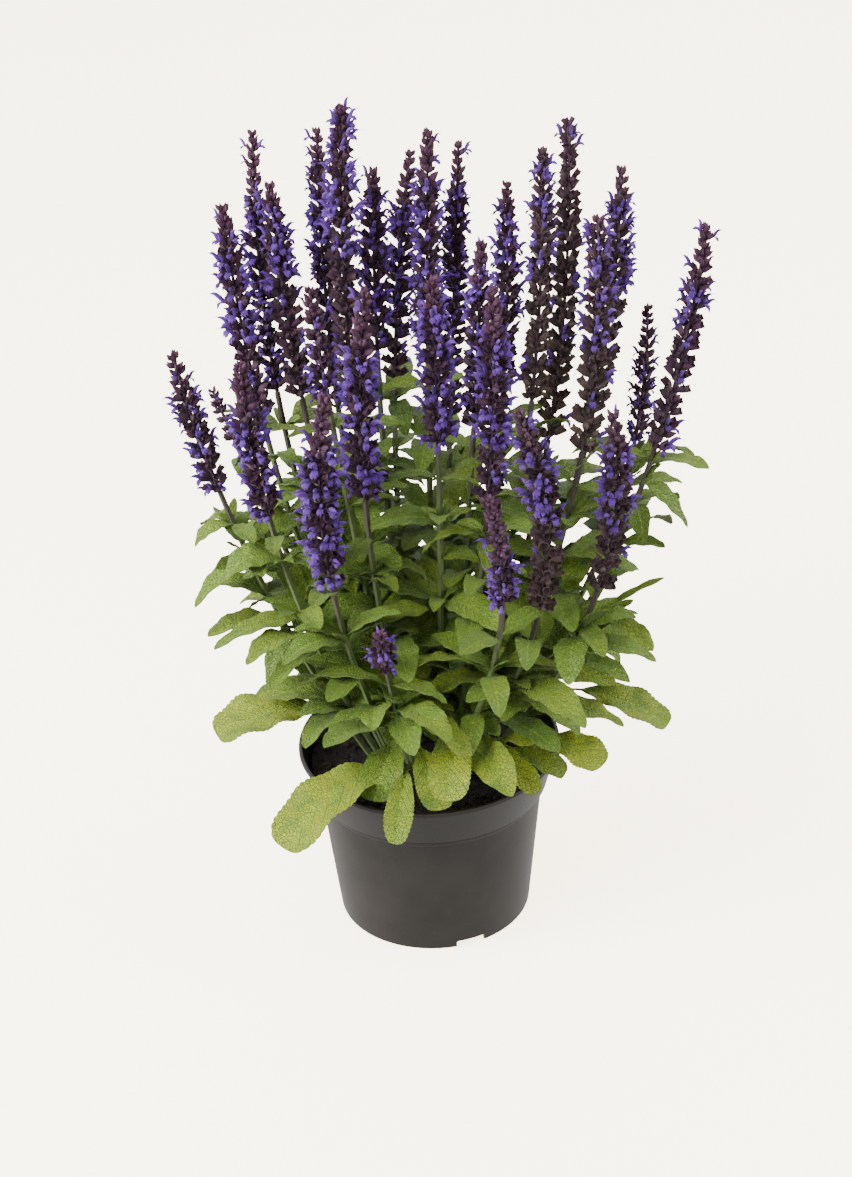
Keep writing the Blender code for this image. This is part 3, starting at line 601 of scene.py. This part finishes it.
def layLeaf(pile, master, leaf, draw):
    shape = leafShape
    flat = master["points"]
    # s runs along the leaf, crowded towards its tip, u along its blade, and face is 1 above and -1 below
    across, s = flat[:, 0], 1.0 - (0.5 - flat[:, 1] * 0.5) ** shape["tipCrowd"]
    face = np.sign(flat[:, 2])
    stalk = leaf["stalk"]
    u = np.clip((s - stalk) / (1.0 - stalk), 0.0, 1.0)
    rise, fall, fullness = shape["outline"]["large" if leaf["kind"] == "large" else "stem"]
    blade = fullness * u ** rise * (1.0 - u) ** fall
    tooth = np.abs(np.sin(u * math.pi * master["teeth"])) ** shape["toothRound"]
    uneven = shape["uneven"] * np.sin(u * 9.0 + draw.uniform(0.0, 6.28) + across)
    half = leaf["width"] * 0.5 * blade * (1.0 + shape["toothDepth"] * (tooth - 0.6) + uneven)
    half = np.maximum(half, shape["stalkHalf"] * np.clip((1.0 - s) * 12.0, 0.25, 1.0))
    base, control, tip = (np.array(leaf[key]) for key in ("base", "control", "tip"))
    s1 = s[:, None]
    point = base * (1 - s1) ** 2 + control * 2 * s1 * (1 - s1) + tip * s1 ** 2
    along = (control - base) * (1 - s1) + (tip - control) * s1
    along /= np.linalg.norm(along, axis=1)[:, None]
    side = np.cross((0.0, 0.0, 1.0), tip - base)
    side /= np.linalg.norm(side)
    roll = math.radians(leaf["roll"])
    side = side * math.cos(roll) + np.cross(along, side) * math.sin(roll)
    normal = np.cross(along, side)
    reach = np.abs(across)
    inBlade = np.clip(u * 6.0, 0.0, 1.0) * np.clip((1.0 - u) * 8.0, 0.0, 1.0)
    rank = (s * shape["veins"] - reach * shape["veinSlant"]) * 2.0 * math.pi
    puff = shape["puff"] * (0.5 - 0.5 * np.cos(rank)) * (1.0 - reach ** 4) * inBlade
    groove = -shape["groove"] * np.exp(-(reach / shape["grooveHalf"]) ** 2) * inBlade
    keel = half * shape["keel"] * reach ** 1.5
    phase = draw.uniform(0.0, 6.28)
    sway = leaf["width"] / shape["rippleAt"] * shape["ripple"]
    frill = reach ** 2 * np.sin(u * shape["frills"] + phase + 2.0 * across) * 0.6
    wave = across * np.sin(u * shape["waves"] + phase) * 0.9
    height = puff + groove + keel + sway * inBlade * (frill + wave)
    bulk = np.clip(1.0 - (s - stalk * 0.6) / 0.25, 0.0, 1.0) * (1.0 - reach)
    thick = shape["thick"] + (shape["stalkThick"] - shape["thick"]) * bulk
    places = point + side * (across * half)[:, None] + normal * (height + face * thick * 0.5)[:, None]
    pile.lay(master, places, draw.uniform(*leaf["tone"]), draw.uniform(*leaf["age"]), (flat[:, 2] < 0.0) * 1.0)


# more leaves than the solids carry: extra pairs in the gaps, and tufts of young leaves over each leaf's foot
fillRule = {
    "first": 0.17, "pitch": 0.034, "pitchSpread": (0.85, 1.15), "highest": 0.415, "belowKnee": 0.006,
    "youngOver": 0.25, "longest": 0.062, "shortest": 0.036, "sizeSpread": (0.8, 1.15), "widthShare": 0.38,
    "aside": 0.9, "lift": (15.0, 60.0), "droop": (-65.0, 10.0), "roll": 20.0, "tries": 7, "margin": 0.004,
}
tuftRule = {
    "count": 2, "longest": 0.04, "share": (0.34, 0.62), "widthShare": 0.34, "aside": (0.25, 0.9),
    "lift": (45.0, 75.0), "droop": (-20.0, 45.0), "roll": 25.0,
}


def leafSpine(leaf):
    base, control, tip = (np.array(leaf[key]) for key in ("base", "control", "tip"))
    return np.array([base * (1 - t) ** 2 + control * 2 * t * (1 - t) + tip * t ** 2 for t in (0.4, 0.6, 0.8, 1.0)])


def insideBox(spine):
    margin = fillRule["margin"]
    low, high = np.array(cadBox[0]) + margin, np.array(cadBox[1]) - margin
    return bool((spine > low).all() and (spine < high).all())


def extraLeaves(number, spines):
    draw = random.Random(7000 + number)
    rule = fillRule
    route = stemRoute(number)
    foot, knee, _, share = route
    height = rule["first"] + draw.uniform(0.0, 1.0) * rule["pitch"]
    heading = draw.uniform(0.0, math.pi)
    made = []
    while height < min(knee.z - rule["belowKnee"], rule["highest"]):
        base = stemPoint(route, share * (height - foot.z) / (knee.z - foot.z))
        young = min(1.0, (height - rule["first"]) / rule["youngOver"])
        for half in (0, 1):
            length = rule["longest"] + young * (rule["shortest"] - rule["longest"])
            length *= draw.uniform(*rule["sizeSpread"])
            best, room = None, 0.0
            for _ in range(rule["tries"]):
                azimuth = heading + math.pi * half + spread(draw, rule["aside"])
                leaf = bowedLeaf(draw, rule, number, base, azimuth, length, stalk=0.12, kind="small",
                                 tone=(0.15, 0.85), age=(0.0, 0.25))
                spine = leafSpine(leaf)
                gap = np.linalg.norm(spine[:, None] - np.concatenate(spines)[None], axis=2).min(axis=1).mean()
                if gap > room and insideBox(spine):
                    best, room = leaf, gap
            if best:
                made.append(best)
                spines.append(leafSpine(best))
        heading += math.pi * 0.5
        height += rule["pitch"] * draw.uniform(*rule["pitchSpread"])
    return made


def tuftLeaves(leaf, draw):
    way = leaf["tip"] - leaf["base"]
    made = []
    for k in range(tuftRule["count"]):
        azimuth = math.atan2(way.y, way.x) + draw.uniform(*tuftRule["aside"]) * (1 if k % 2 else -1)
        length = min(tuftRule["longest"], way.length * draw.uniform(*tuftRule["share"]))
        small = bowedLeaf(draw, tuftRule, leaf["stem"], leaf["base"], azimuth, length, stalk=0.12, kind="tuft",
                          tone=(0.35, 1.0), age=(0.0, 0.2))
        if insideBox(leafSpine(small)):
            made.append(small)
    return made


# the bare stem is a square rod, modelled once and laid along each stem's curve
rodSize = {"sides": 8, "steps": 26, "foot": 0.002, "knee": 0.0017, "buried": 0.018, "square": 0.16}


def rodMaster(sides, steps):
    rod = growTube("rod", sides, [(0.0, k / steps, 1.0, 1.0, 0.0) for k in range(steps + 1)])
    return readShape(rod, lambda p: np.stack([np.arctan2(p[:, 1], p[:, 0]) / (2 * math.pi) + 0.5, p[:, 2]], 1))


def layAlong(pile, master, centres, directions, radii, square, tone):
    flat = master["points"]
    steps = len(centres) - 1
    index = np.clip(np.rint(flat[:, 2] * steps), 0, steps).astype(int)
    angle = np.arctan2(flat[:, 1], flat[:, 0])
    centres, directions = np.array(centres), np.array(directions)
    acrossAll = np.cross(np.cross(directions, (1.0, 0.0, 0.0)), directions)
    acrossAll /= np.linalg.norm(acrossAll, axis=1)[:, None]
    otherAll = np.cross(directions, acrossAll)
    radius = np.array(radii)[index] * (1.0 + square * np.cos(angle * 4.0)) * np.hypot(flat[:, 0], flat[:, 1])
    places = centres[index]
    places = places + acrossAll[index] * (np.cos(angle) * radius)[:, None]
    places = places + otherAll[index] * (np.sin(angle) * radius)[:, None]
    pile.lay(master, places, tone, 0.0, flat[:, 2])


def makeStem(number, rod, sheets, leaves, looks):
    draw = random.Random(900 + number)
    route = stemRoute(number)
    foot, _, _, share = route
    first = stemDirection(route, 0.0)
    centres, directions, radii = [foot - first * rodSize["buried"]], [first], [rodSize["foot"]]
    for k in range(rodSize["steps"]):
        part = k / (rodSize["steps"] - 1)
        centres.append(stemPoint(route, share * part))
        directions.append(stemDirection(route, share * part))
        radii.append(rodSize["foot"] + part * (rodSize["knee"] - rodSize["foot"]))
    label = "%02d" % number
    pile = Pile("stem" + label)
    layAlong(pile, rod, centres, directions, radii, rodSize["square"], draw.random())
    finishPiece(pile.piece(), "stalk_" + label, ["stem_" + label], looks["stem"])
    if not leaves:
        return
    pile = Pile("leaves" + label)
    for leaf in leaves:
        layLeaf(pile, sheets[leaf["kind"]], leaf, draw)
    finishPiece(pile.piece(), "leaves_" + label, ["stem_" + label], looks["leaf"], 80)


# flower parts in millimetres, each pointing up Z with the upper lip towards +X
flowerSize = {
    "whorlLow": 0.0092, "whorlHigh": 0.0057, "fan": 31.0, "fanSpread": 0.18, "tilt": 38.0, "tiltTip": 54.0,
    "tiltLast": 14.0, "leanSpread": 12.0, "calyx": 1.13, "calyxSpread": (0.86, 1.1), "tipShrink": 0.46,
    "bloomLeast": 0.8, "bloomSpread": (0.84, 1.08), "openShare": 0.58, "strayOpen": 0.05, "openBelow": 0.95,
    "budShare": 0.25, "rachis": 0.00135, "rachisTip": 0.0008, "rachisSquare": 0.1, "crown": 7, "crownSize": 0.44,
}
calyxRings = (
    (0.0, 0.0, 0.45, 0.45, 0), (0.0, 2.0, 0.75, 0.7, 0), (0.1, 3.8, 1.75, 1.6, 0), (0.2, 6.6, 2.1, 1.95, 0),
    (0.3, 8.8, 2.1, 1.95, 0),
)
budRings = (
    (0.0, 0.0, 0.45, 0.45, 0), (0.0, 1.8, 0.8, 0.75, 0), (0.0, 3.4, 1.9, 1.8, 0), (0.1, 5.8, 2.2, 2.05, 0),
    (0.2, 8.0, 1.35, 1.2, 0), (0.3, 10.0, 0.22, 0.2, 0),
)
hoodRings = (
    (0.0, 6.5, 0.95, 0.95, 0), (0.4, 9.8, 1.55, 1.45, 14), (1.8, 12.6, 1.65, 1.35, 22), (2.7, 15.2, 1.4, 1.2, 4),
    (2.5, 17.2, 1.0, 0.9, -24), (1.5, 18.6, 0.3, 0.25, -48),
)
styleRings = ((1.8, 18.0, 0.16, 0.16, -46), (0.9, 20.0, 0.13, 0.13, -26), (0.5, 21.6, 0.1, 0.1, -10))
lipPath = ((-0.6, 8.6, 1.0), (-2.2, 11.2, 1.9), (-3.9, 12.3, 2.6), (-5.8, 11.3, 2.0))
# how far each row of the lip stands out at its middle, half way and at its edge
lipLobes = ((0.0, 0.0, 0.0), (0.0, 0.1, 0.6), (0.0, 0.4, -0.7), (1.0, -0.8, 2.2))
calyxMouth = {"wall": 0.35, "deep": 1.8, "teeth": 3.0, "toothHigh": 2.6, "drop": 0.4, "narrow": 0.92, "flare": 0.3}


def ringUv(points):
    around = np.arctan2(points[:, 1], points[:, 0]) / (2 * math.pi) + 0.5
    return np.stack([around, points[:, 2] / points[:, 2].max()], 1)


def calyxMaster():
    cup = growTube("calyx", 6, calyxRings)
    edge, mouth = calyxRings[-1][1] - 0.01, calyxMouth
    useOnly(cup)
    toMode("EDIT")
    bpy.ops.mesh.select_mode(type="FACE")
    bpy.ops.mesh.select_all(action="DESELECT")
    toMode("OBJECT")
    for face in cup.data.polygons:
        face.select = face.center.z > edge
    toMode("EDIT")
    bpy.ops.mesh.inset(thickness=mouth["wall"], depth=-mouth["deep"])
    toMode("OBJECT")
    for vertex in cup.data.vertices:
        if vertex.co.z > edge:
            angle = math.atan2(vertex.co.y, vertex.co.x)
            tooth = 0.5 + 0.5 * math.cos(angle * mouth["teeth"])
            vertex.co.z += mouth["toothHigh"] * tooth - mouth["drop"]
            vertex.co.x *= mouth["narrow"] + mouth["flare"] * tooth
            vertex.co.y *= mouth["narrow"] + mouth["flare"] * tooth
    return readShape(cup, ringUv)


def lipPiece():
    # the hanging lower lip is a small sheet bent down, wide in the middle and cupped
    last = len(lipPath) - 1
    deselectAll()
    bpy.ops.mesh.primitive_grid_add(x_subdivisions=4, y_subdivisions=last, size=2.0)
    lip = bpy.context.object
    for vertex in lip.data.vertices:
        across = vertex.co.x
        row = int(round((vertex.co.y * 0.5 + 0.5) * last))
        x, z, half = lipPath[row]
        x += lipLobes[row][int(round(abs(across) * 2.0))]
        vertex.co = (x + 0.5 * across * across, across * half, z - 0.9 * across * across)
    thicken(lip, 0.35)
    return lip


def hoodMaster():
    parts = [growTube("hood", 5, hoodRings, math.pi), growTube("style", 3, styleRings), lipPiece()]
    return readShape(joinPieces(parts), ringUv)


def budMaster():
    return readShape(growTube("bud", 6, budRings), ringUv)


def turnedOut(upward, angle):
    across = (Vector((1.0, 0.0, 0.0)) - upward * upward.x).normalized()
    return across * math.cos(angle) + upward.cross(across) * math.sin(angle)


def layFlower(pile, master, root, outward, upward, tilt, size, tone, age=0.0, red=0.0, roll=0.0):
    # one flower part turned to lean out from the stem by its tilt, upper lip towards the stem's tip
    rise = math.radians(tilt)
    axis = outward * math.cos(rise) + upward * math.sin(rise)
    top = upward * math.cos(rise) - outward * math.sin(rise)
    side = axis.cross(top)
    top, side = top * math.cos(roll) + side * math.sin(roll), side * math.cos(roll) - top * math.sin(roll)
    places = np.array(root) + (master["points"] * size * mm) @ np.array([top, side, axis])
    pile.lay(master, places, tone, age, red)


def layRachis(pile, rod, route, spent):
    flower, share, steps = flowerSize, route[3], rodSize["steps"]
    ts = [share + (1.0 - share) * (0.003 + 0.985 * k / steps) for k in range(steps + 1)]
    radii = [flower["rachis"] + (flower["rachisTip"] - flower["rachis"]) * k / steps for k in range(steps + 1)]
    centres, directions = [stemPoint(route, t) for t in ts], [stemDirection(route, t) for t in ts]
    layAlong(pile, rod, centres, directions, radii, flower["rachisSquare"], 0.4)
    pile.marks["age"][-1][:] = spent * 0.5
    pile.marks["shade"][-1][:] = 0.0


def makeSpike(number, masters, looks):
    draw = random.Random(300 + number)
    flower = flowerSize
    size, (openFrom, openTo), openShare, spent = stemRows[number - 1][2:6]
    route = stemRoute(number)
    share, length = route[3], (route[2] - route[1]).length
    label = "%02d" % number
    cups, petals = Pile("cups" + label), Pile("petals" + label)
    layRachis(cups, masters["rod"], route, spent)
    along, turn = 0.003, draw.uniform(0.0, math.pi)
    while along < length - 0.002:
        u = along / length
        t = share + (1.0 - share) * u
        centre, upward = stemPoint(route, t), stemDirection(route, t)
        young = max(0.0, (u - 0.5) / 0.5)
        grow = size * (1.0 - flower["tipShrink"] * young ** 2)
        tilt = flower["tilt"] + (flower["tiltTip"] - flower["tilt"]) * young
        tilt += flower["tiltLast"] * max(0.0, u - 0.9) / 0.1
        openChance = openShare * flower["openShare"] if openFrom <= u <= openTo else flower["strayOpen"]
        for half in (0, 1):
            for k in (-1.5, -0.5, 0.5, 1.5):
                aside = spread(draw, flower["fanSpread"])
                outward = turnedOut(upward, turn + math.pi * half + math.radians(flower["fan"] * k) + aside)
                root = centre + outward * 0.0008 + upward * spread(draw, 0.0012) * grow
                lean = tilt + spread(draw, flower["leanSpread"])
                scale = grow * draw.uniform(*flower["calyxSpread"]) * flower["calyx"]
                isOpen = draw.random() < openChance and u < flower["openBelow"]
                closed = not isOpen and (u > openTo or draw.random() < flower["budShare"])
                dry = min(1.0, max(0.0, spent * (1.25 - u) + spread(draw, 0.15)))
                red = min(1.0, max(0.0, young * 1.5 - 0.35)) * (1.0 - spent) * draw.uniform(0.4, 1.0)
                layFlower(cups, masters["bud" if closed else "calyx"], root, outward, upward, lean, scale,
                          draw.random(), dry, red)
                if isOpen:
                    bloom = max(grow, flower["bloomLeast"] * size) * draw.uniform(*flower["bloomSpread"])
                    layFlower(petals, masters["hood"], root, outward, upward, lean - draw.uniform(0.0, 12.0), bloom,
                              draw.random(), roll=spread(draw, 0.5))
        turn += math.pi * 0.5 + spread(draw, 0.15)
        step = flower["whorlLow"] + (flower["whorlHigh"] - flower["whorlLow"]) * u ** 1.3
        along += step * (0.45 + 0.55 * size) * draw.uniform(0.9, 1.1)
    for k in range(flower["crown"]):
        outward = turnedOut(upward, turn + 2.4 * k)
        root = stemPoint(route, 1.0) - upward * (0.004 + 0.0006 * k)
        layFlower(cups, masters["bud"], root, outward, upward, 88.0 - 6.5 * k, size * flower["crownSize"],
                  draw.random(), spent * 0.2, 0.8 * (1.0 - spent))
    finishPiece(cups.piece(), "calyces_" + label, ["spike_" + label], looks["calyx"], 50)
    if petals.points:
        finishPiece(petals.piece(), "corollas_" + label, ["spike_" + label], looks["corolla"], 60)


potSize = {
    "sides": 128, "lip": 0.0036, "lipStep": 0.0016, "collar": 0.032, "collarFoot": 0.0855, "bodyTop": 0.0818,
    "base": 0.0702, "wall": 0.002, "skirt": 0.0032, "floor": 0.005, "disc": 0.03, "notches": 3,
    "notchDeep": 0.016, "notchWidth": 0.022, "notchHeight": 0.0055, "notchSoft": 0.0012, "firstNotch": -69.5,
}


def turnedPot(look):
    size = potSize
    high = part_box("pot")[1]
    rim, top = high.x, high.z
    foot, lipFoot, neck = top - size["collar"], top - size["lip"], rim - size["lipStep"]
    base, body, collar, disc = (size[key] for key in ("base", "bodyTop", "collarFoot", "disc"))
    floor, wall, skirt = size["floor"], size["wall"], base - size["skirt"]
    inside = neck + 0.001 - wall
    # radius and height of each ring, from the underside up the outside and down the inside
    profile = [
        (disc, 0.0), (disc + 0.003, floor), (skirt - 0.0006, floor), (skirt, floor - 0.0006), (skirt, 0.0006),
        (skirt + 0.0006, 0.0), (base - 0.0009, 0.0), (base - 0.0002, 0.0005), (base, 0.0012), (base + 0.0002, 0.003),
        (body - 0.002464, foot * 0.78), (body - 0.0004, foot - 0.0062), (body + 0.0006, foot - 0.0052),
        (body + 0.001, foot - 0.0046), (body + 0.0012, foot - 0.0012), (collar - 0.0012, foot - 0.0006),
        (collar - 0.0003, foot), (collar + 0.0003, foot + 0.0012), (neck - 0.0004, lipFoot - 0.0012),
        (neck, lipFoot - 0.0004), (rim - 0.0006, lipFoot + 0.0001), (rim, lipFoot + 0.0008), (rim, top - 0.001),
        (rim - 0.0003, top - 0.0003), (rim - 0.001, top), (inside + 0.0008, top), (inside, top - 0.0006),
        (inside - 0.0002, top - 0.0016), (collar - wall, foot + wall), (body - wall, foot),
        (base - wall + 0.0006, floor + wall), (disc + 0.004, floor + wall), (disc + 0.001, wall),
    ]
    deselectAll()
    bpy.ops.mesh.primitive_circle_add(vertices=size["sides"], radius=profile[0][0], fill_type="NGON",
                                      rotation=(math.pi, 0, 0))
    pot = bpy.context.object
    bpy.ops.object.transform_apply()
    toMode("EDIT")
    bpy.ops.mesh.select_all(action="SELECT")
    radius, height = profile[0]
    for nextRadius, nextHeight in profile[1:]:
        bpy.ops.mesh.extrude_region_move(TRANSFORM_OT_translate={"value": (0.0, 0.0, nextHeight - height)})
        share = nextRadius / radius
        bpy.ops.transform.resize(value=(share, share, 1.0), center_override=(0.0, 0.0, nextHeight))
        radius, height = nextRadius, nextHeight
    toMode("OBJECT")
    tidyNormals(pot)
    cutNotches(pot, size)
    finishPiece(pot, "pot_shell", ["pot"], look, 35)


def cutNotches(pot, size):
    cutters = []
    for k in range(size["notches"]):
        angle = math.radians(size["firstNotch"]) + 2.0 * math.pi * k / size["notches"]
        deselectAll()
        place = (math.cos(angle) * size["base"], math.sin(angle) * size["base"], 0.0)
        bpy.ops.mesh.primitive_cube_add(size=1.0, location=place, rotation=(0.0, 0.0, angle))
        box = bpy.context.object
        box.scale = (size["notchDeep"], size["notchWidth"], size["notchHeight"] * 2.0)
        bpy.ops.object.transform_apply()
        soft = box.modifiers.new("soft", "BEVEL")
        soft.width = size["notchSoft"]
        soft.segments = 3
        applyAll(box)
        cutters.append(box)
    cutter = joinPieces(cutters)
    cut = pot.modifiers.new("notches", "BOOLEAN")
    cut.operation = "DIFFERENCE"
    cut.object = cutter
    cut.solver = "EXACT"
    applyAll(pot)
    bpy.data.objects.remove(cutter)


# the bed's side steps in below its top, by radius and height
soilSize = {
    "grid": 110, "lump": 0.003, "side": ((0.0826, 0.11), (0.078, 0.104)), "bottom": 0.0675, "crumbs": 420,
    "crumbMin": 0.0009, "crumbMax": 0.003,
}


def soilHeight(x, y):
    slow = noise.noise(Vector((x * 38.0, y * 38.0, 2.0)))
    quick = noise.noise(Vector((x * 190.0, y * 190.0, 5.0)))
    fine = noise.noise(Vector((x * 420.0, y * 420.0, 9.0)))
    return soilSize["lump"] * (0.55 * slow + 0.45 * quick + 0.25 * fine)


def makeSoil(look):
    low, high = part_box("soil")
    radius = high.x - 0.0006
    deselectAll()
    count = soilSize["grid"]
    bpy.ops.mesh.primitive_grid_add(x_subdivisions=count, y_subdivisions=count, size=2.0)
    bed = bpy.context.object
    for vertex in bed.data.vertices:
        x, y = vertex.co.x, vertex.co.y
        reach = max(abs(x), abs(y))
        length = math.hypot(x, y)
        if length > 0.0:
            x, y = x * reach / length, y * reach / length
        vertex.co = (x * radius, y * radius, soilTop + soilHeight(x * radius, y * radius))
    useOnly(bed)
    toMode("EDIT")
    bpy.ops.mesh.select_mode(type="EDGE")
    bpy.ops.mesh.select_all(action="DESELECT")
    bpy.ops.mesh.select_non_manifold()
    for nextRadius, nextHeight in (*soilSize["side"], (soilSize["bottom"], low.z)):
        bpy.ops.mesh.extrude_region_move(TRANSFORM_OT_translate={"value": (0.0, 0.0, -0.002)})
        share = nextRadius / radius
        bpy.ops.transform.resize(value=(share, share, 0.0), center_override=(0.0, 0.0, 0.0))
        bpy.ops.transform.translate(value=(0.0, 0.0, nextHeight))
        radius = nextRadius
    bpy.ops.mesh.edge_face_add()
    toMode("OBJECT")
    tidyNormals(bed)
    finishPiece(bed, "soil_bed", ["soil"], look, 80)


def makeCrumbs(look):
    draw = random.Random(41)
    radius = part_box("soil")[1].x - 0.004
    deselectAll()
    bpy.ops.mesh.primitive_ico_sphere_add(subdivisions=2, radius=1.0)
    crumb = bpy.context.object
    for vertex in crumb.data.vertices:
        vertex.co *= 1.0 + 0.35 * noise.noise(vertex.co * 1.7)
    master = readShape(crumb, lambda p: np.stack([p[:, 0], p[:, 1]], 1) * 0.5 + 0.5)
    pile = Pile("crumbs")
    for _ in range(soilSize["crumbs"]):
        reach = radius * math.sqrt(draw.random())
        angle = draw.uniform(0.0, 2.0 * math.pi)
        x, y = reach * math.cos(angle), reach * math.sin(angle)
        size = soilSize["crumbMin"] + draw.random() ** 2 * (soilSize["crumbMax"] - soilSize["crumbMin"])
        spin = draw.uniform(0.0, 6.28)
        turn = Matrix.Rotation(spin, 3, Vector((draw.random(), draw.random(), draw.random() + 0.1)))
        stretch = np.array([draw.uniform(0.7, 1.5), draw.uniform(0.7, 1.2), draw.uniform(0.5, 0.9)]) * size
        place = np.array((x, y, soilTop + soilHeight(x, y) + size * 0.25))
        pile.lay(master, place + (master["points"] * stretch) @ np.array(turn), draw.random())
    finishPiece(pile.piece(), "soil_crumbs", ["soil"], look, 60)


# the lamps are given by name, place, power and size
studio = {
    "floor": (0.86, 0.85, 0.83), "floorWide": 30.0, "floorDown": 0.0002, "glow": 4.8, "glowColour": (1.0, 0.87, 0.6),
    "sky": 1.0, "ground": 0.8, "horizon": (-0.25, 0.35), "skyColour": (1.0, 0.985, 0.96, 1.0), "lampsAim": 0.25,
    "lamps": (
        ("key", (-1.5, -1.5, 2.4), 150.0, 1.8), ("fill", (1.8, -1.2, 1.4), 16.0, 1.6),
        ("back", (0.4, 1.8, 1.9), 24.0, 1.4), ("left", (-1.9, -0.35, 0.75), 70.0, 0.9),
        ("right", (1.9, 0.1, 0.75), 40.0, 0.9),
    ),
    "cameraAway": 2.0, "cameraHeight": 1.4834, "focalPixels": 3307.5, "imageHeight": 1177,
    "pitch": 0.5467, "roll": 0.0431, "yaw": 0.0013,
}


def addLamp(name, place, power, size):
    deselectAll()
    bpy.ops.object.light_add(type="AREA", location=place)
    lamp = bpy.context.object
    lamp.name = name
    lamp.data.energy = power
    lamp.data.size = size
    way = Vector((0.0, 0.0, studio["lampsAim"])) - Vector(place)
    lamp.rotation_euler = way.to_track_quat("-Z", "Y").to_euler()


def makeStudio():
    deselectAll()
    bpy.ops.mesh.primitive_plane_add(size=studio["floorWide"], location=(0.0, 0.0, -studio["floorDown"]))
    floor = bpy.context.object
    floor.name = "floor"
    look = Look("pale floor")
    paint = look.done(Base_Color=studio["floor"], Roughness=0.8, Specular_IOR_Level=0.2,
                      Emission_Color=studio["glowColour"], Emission_Strength=studio["glow"])
    floor.data.materials.append(paint)
    floor.visible_diffuse = False
    floor.visible_glossy = False
    world = bpy.data.worlds.new("studio")
    bpy.context.scene.world = world
    world.use_nodes = True
    tree = world.node_tree
    way = tree.nodes.new("ShaderNodeTexCoord")
    split = tree.nodes.new("ShaderNodeSeparateXYZ")
    tree.links.new(way.outputs["Generated"], split.inputs[0])
    rise = tree.nodes.new("ShaderNodeMapRange")
    rise.interpolation_type = "SMOOTHSTEP"
    for socket, number in enumerate((*studio["horizon"], studio["ground"], studio["sky"]), 1):
        rise.inputs[socket].default_value = number
    tree.links.new(split.outputs["Z"], rise.inputs[0])
    tree.links.new(rise.outputs[0], tree.nodes["Background"].inputs["Strength"])
    tree.nodes["Background"].inputs["Color"].default_value = studio["skyColour"]
    for lamp in studio["lamps"]:
        addLamp(*lamp)


def makeCamera():
    c = studio
    right = Vector((math.cos(c["yaw"]), -math.sin(c["yaw"]), 0.0))
    ahead = Vector((math.sin(c["yaw"]), math.cos(c["yaw"]), 0.0))
    forward = ahead * math.cos(c["pitch"]) - upAxis * math.sin(c["pitch"])
    over = ahead * math.sin(c["pitch"]) + upAxis * math.cos(c["pitch"])
    camRight = right * math.cos(c["roll"]) - over * math.sin(c["roll"])
    camUp = right * math.sin(c["roll"]) + over * math.cos(c["roll"])
    data = bpy.data.cameras.new("camera")
    data.lens = c["focalPixels"] * data.sensor_width / c["imageHeight"]
    camera = bpy.data.objects.new("camera", data)
    bpy.context.scene.collection.objects.link(camera)
    turn = Matrix((camRight, camUp, -forward)).transposed().to_4x4()
    camera.matrix_world = Matrix.Translation((0.0, -c["cameraAway"], c["cameraHeight"])) @ turn
    bpy.context.scene.camera = camera


makeCamera()
looks = {
    "pot": potLook(), "soil": soilLook(), "leaf": leafLook(), "stem": stemLook(), "calyx": calyxLook(),
    "corolla": corollaLook(),
}
turnedPot(looks["pot"])
print("pot turned")
makeSoil(looks["soil"])
makeCrumbs(looks["soil"])
print("soil laid")

rod = rodMaster(rodSize["sides"], rodSize["steps"])
sheets = {kind: leafMaster(*grid) for kind, grid in leafShape["grids"].items()}
masters = {"rod": rod, "calyx": calyxMaster(), "hood": hoodMaster(), "bud": budMaster()}
leavesOf = {number: [] for number in range(1, len(stemRows) + 1)}
trees = {number: nodeTree("stem_%02d" % number) for number in leavesOf}
hopeful = [placedLeaf(row) for row in placedLeaves]
for number in leavesOf:
    hopeful += stemLeaves(number)
for leaf in hopeful:
    settled = settledLeaf(leaf, trees[leaf["stem"]])
    if settled:
        leavesOf[leaf["stem"]].append(settled)
print("leaves found in the solids:", sum(len(found) for found in leavesOf.values()), "of", len(hopeful))
spines = [leafSpine(leaf) for found in leavesOf.values() for leaf in found]
for number, found in leavesOf.items():
    draw = random.Random(4000 + number)
    tufts = [tuft for leaf in found if leaf["kind"] == "middle" for tuft in tuftLeaves(leaf, draw)]
    found += extraLeaves(number, spines) + tufts + [sceneLeaf(row) for row in sceneLeaves if row[0] == number]
    makeStem(number, rod, sheets, found, looks)
print("leaves laid:", sum(len(found) for found in leavesOf.values()))
for number in leavesOf:
    makeSpike(number, masters, looks)
print("spikes laid:", len(leavesOf))
makeStudio()
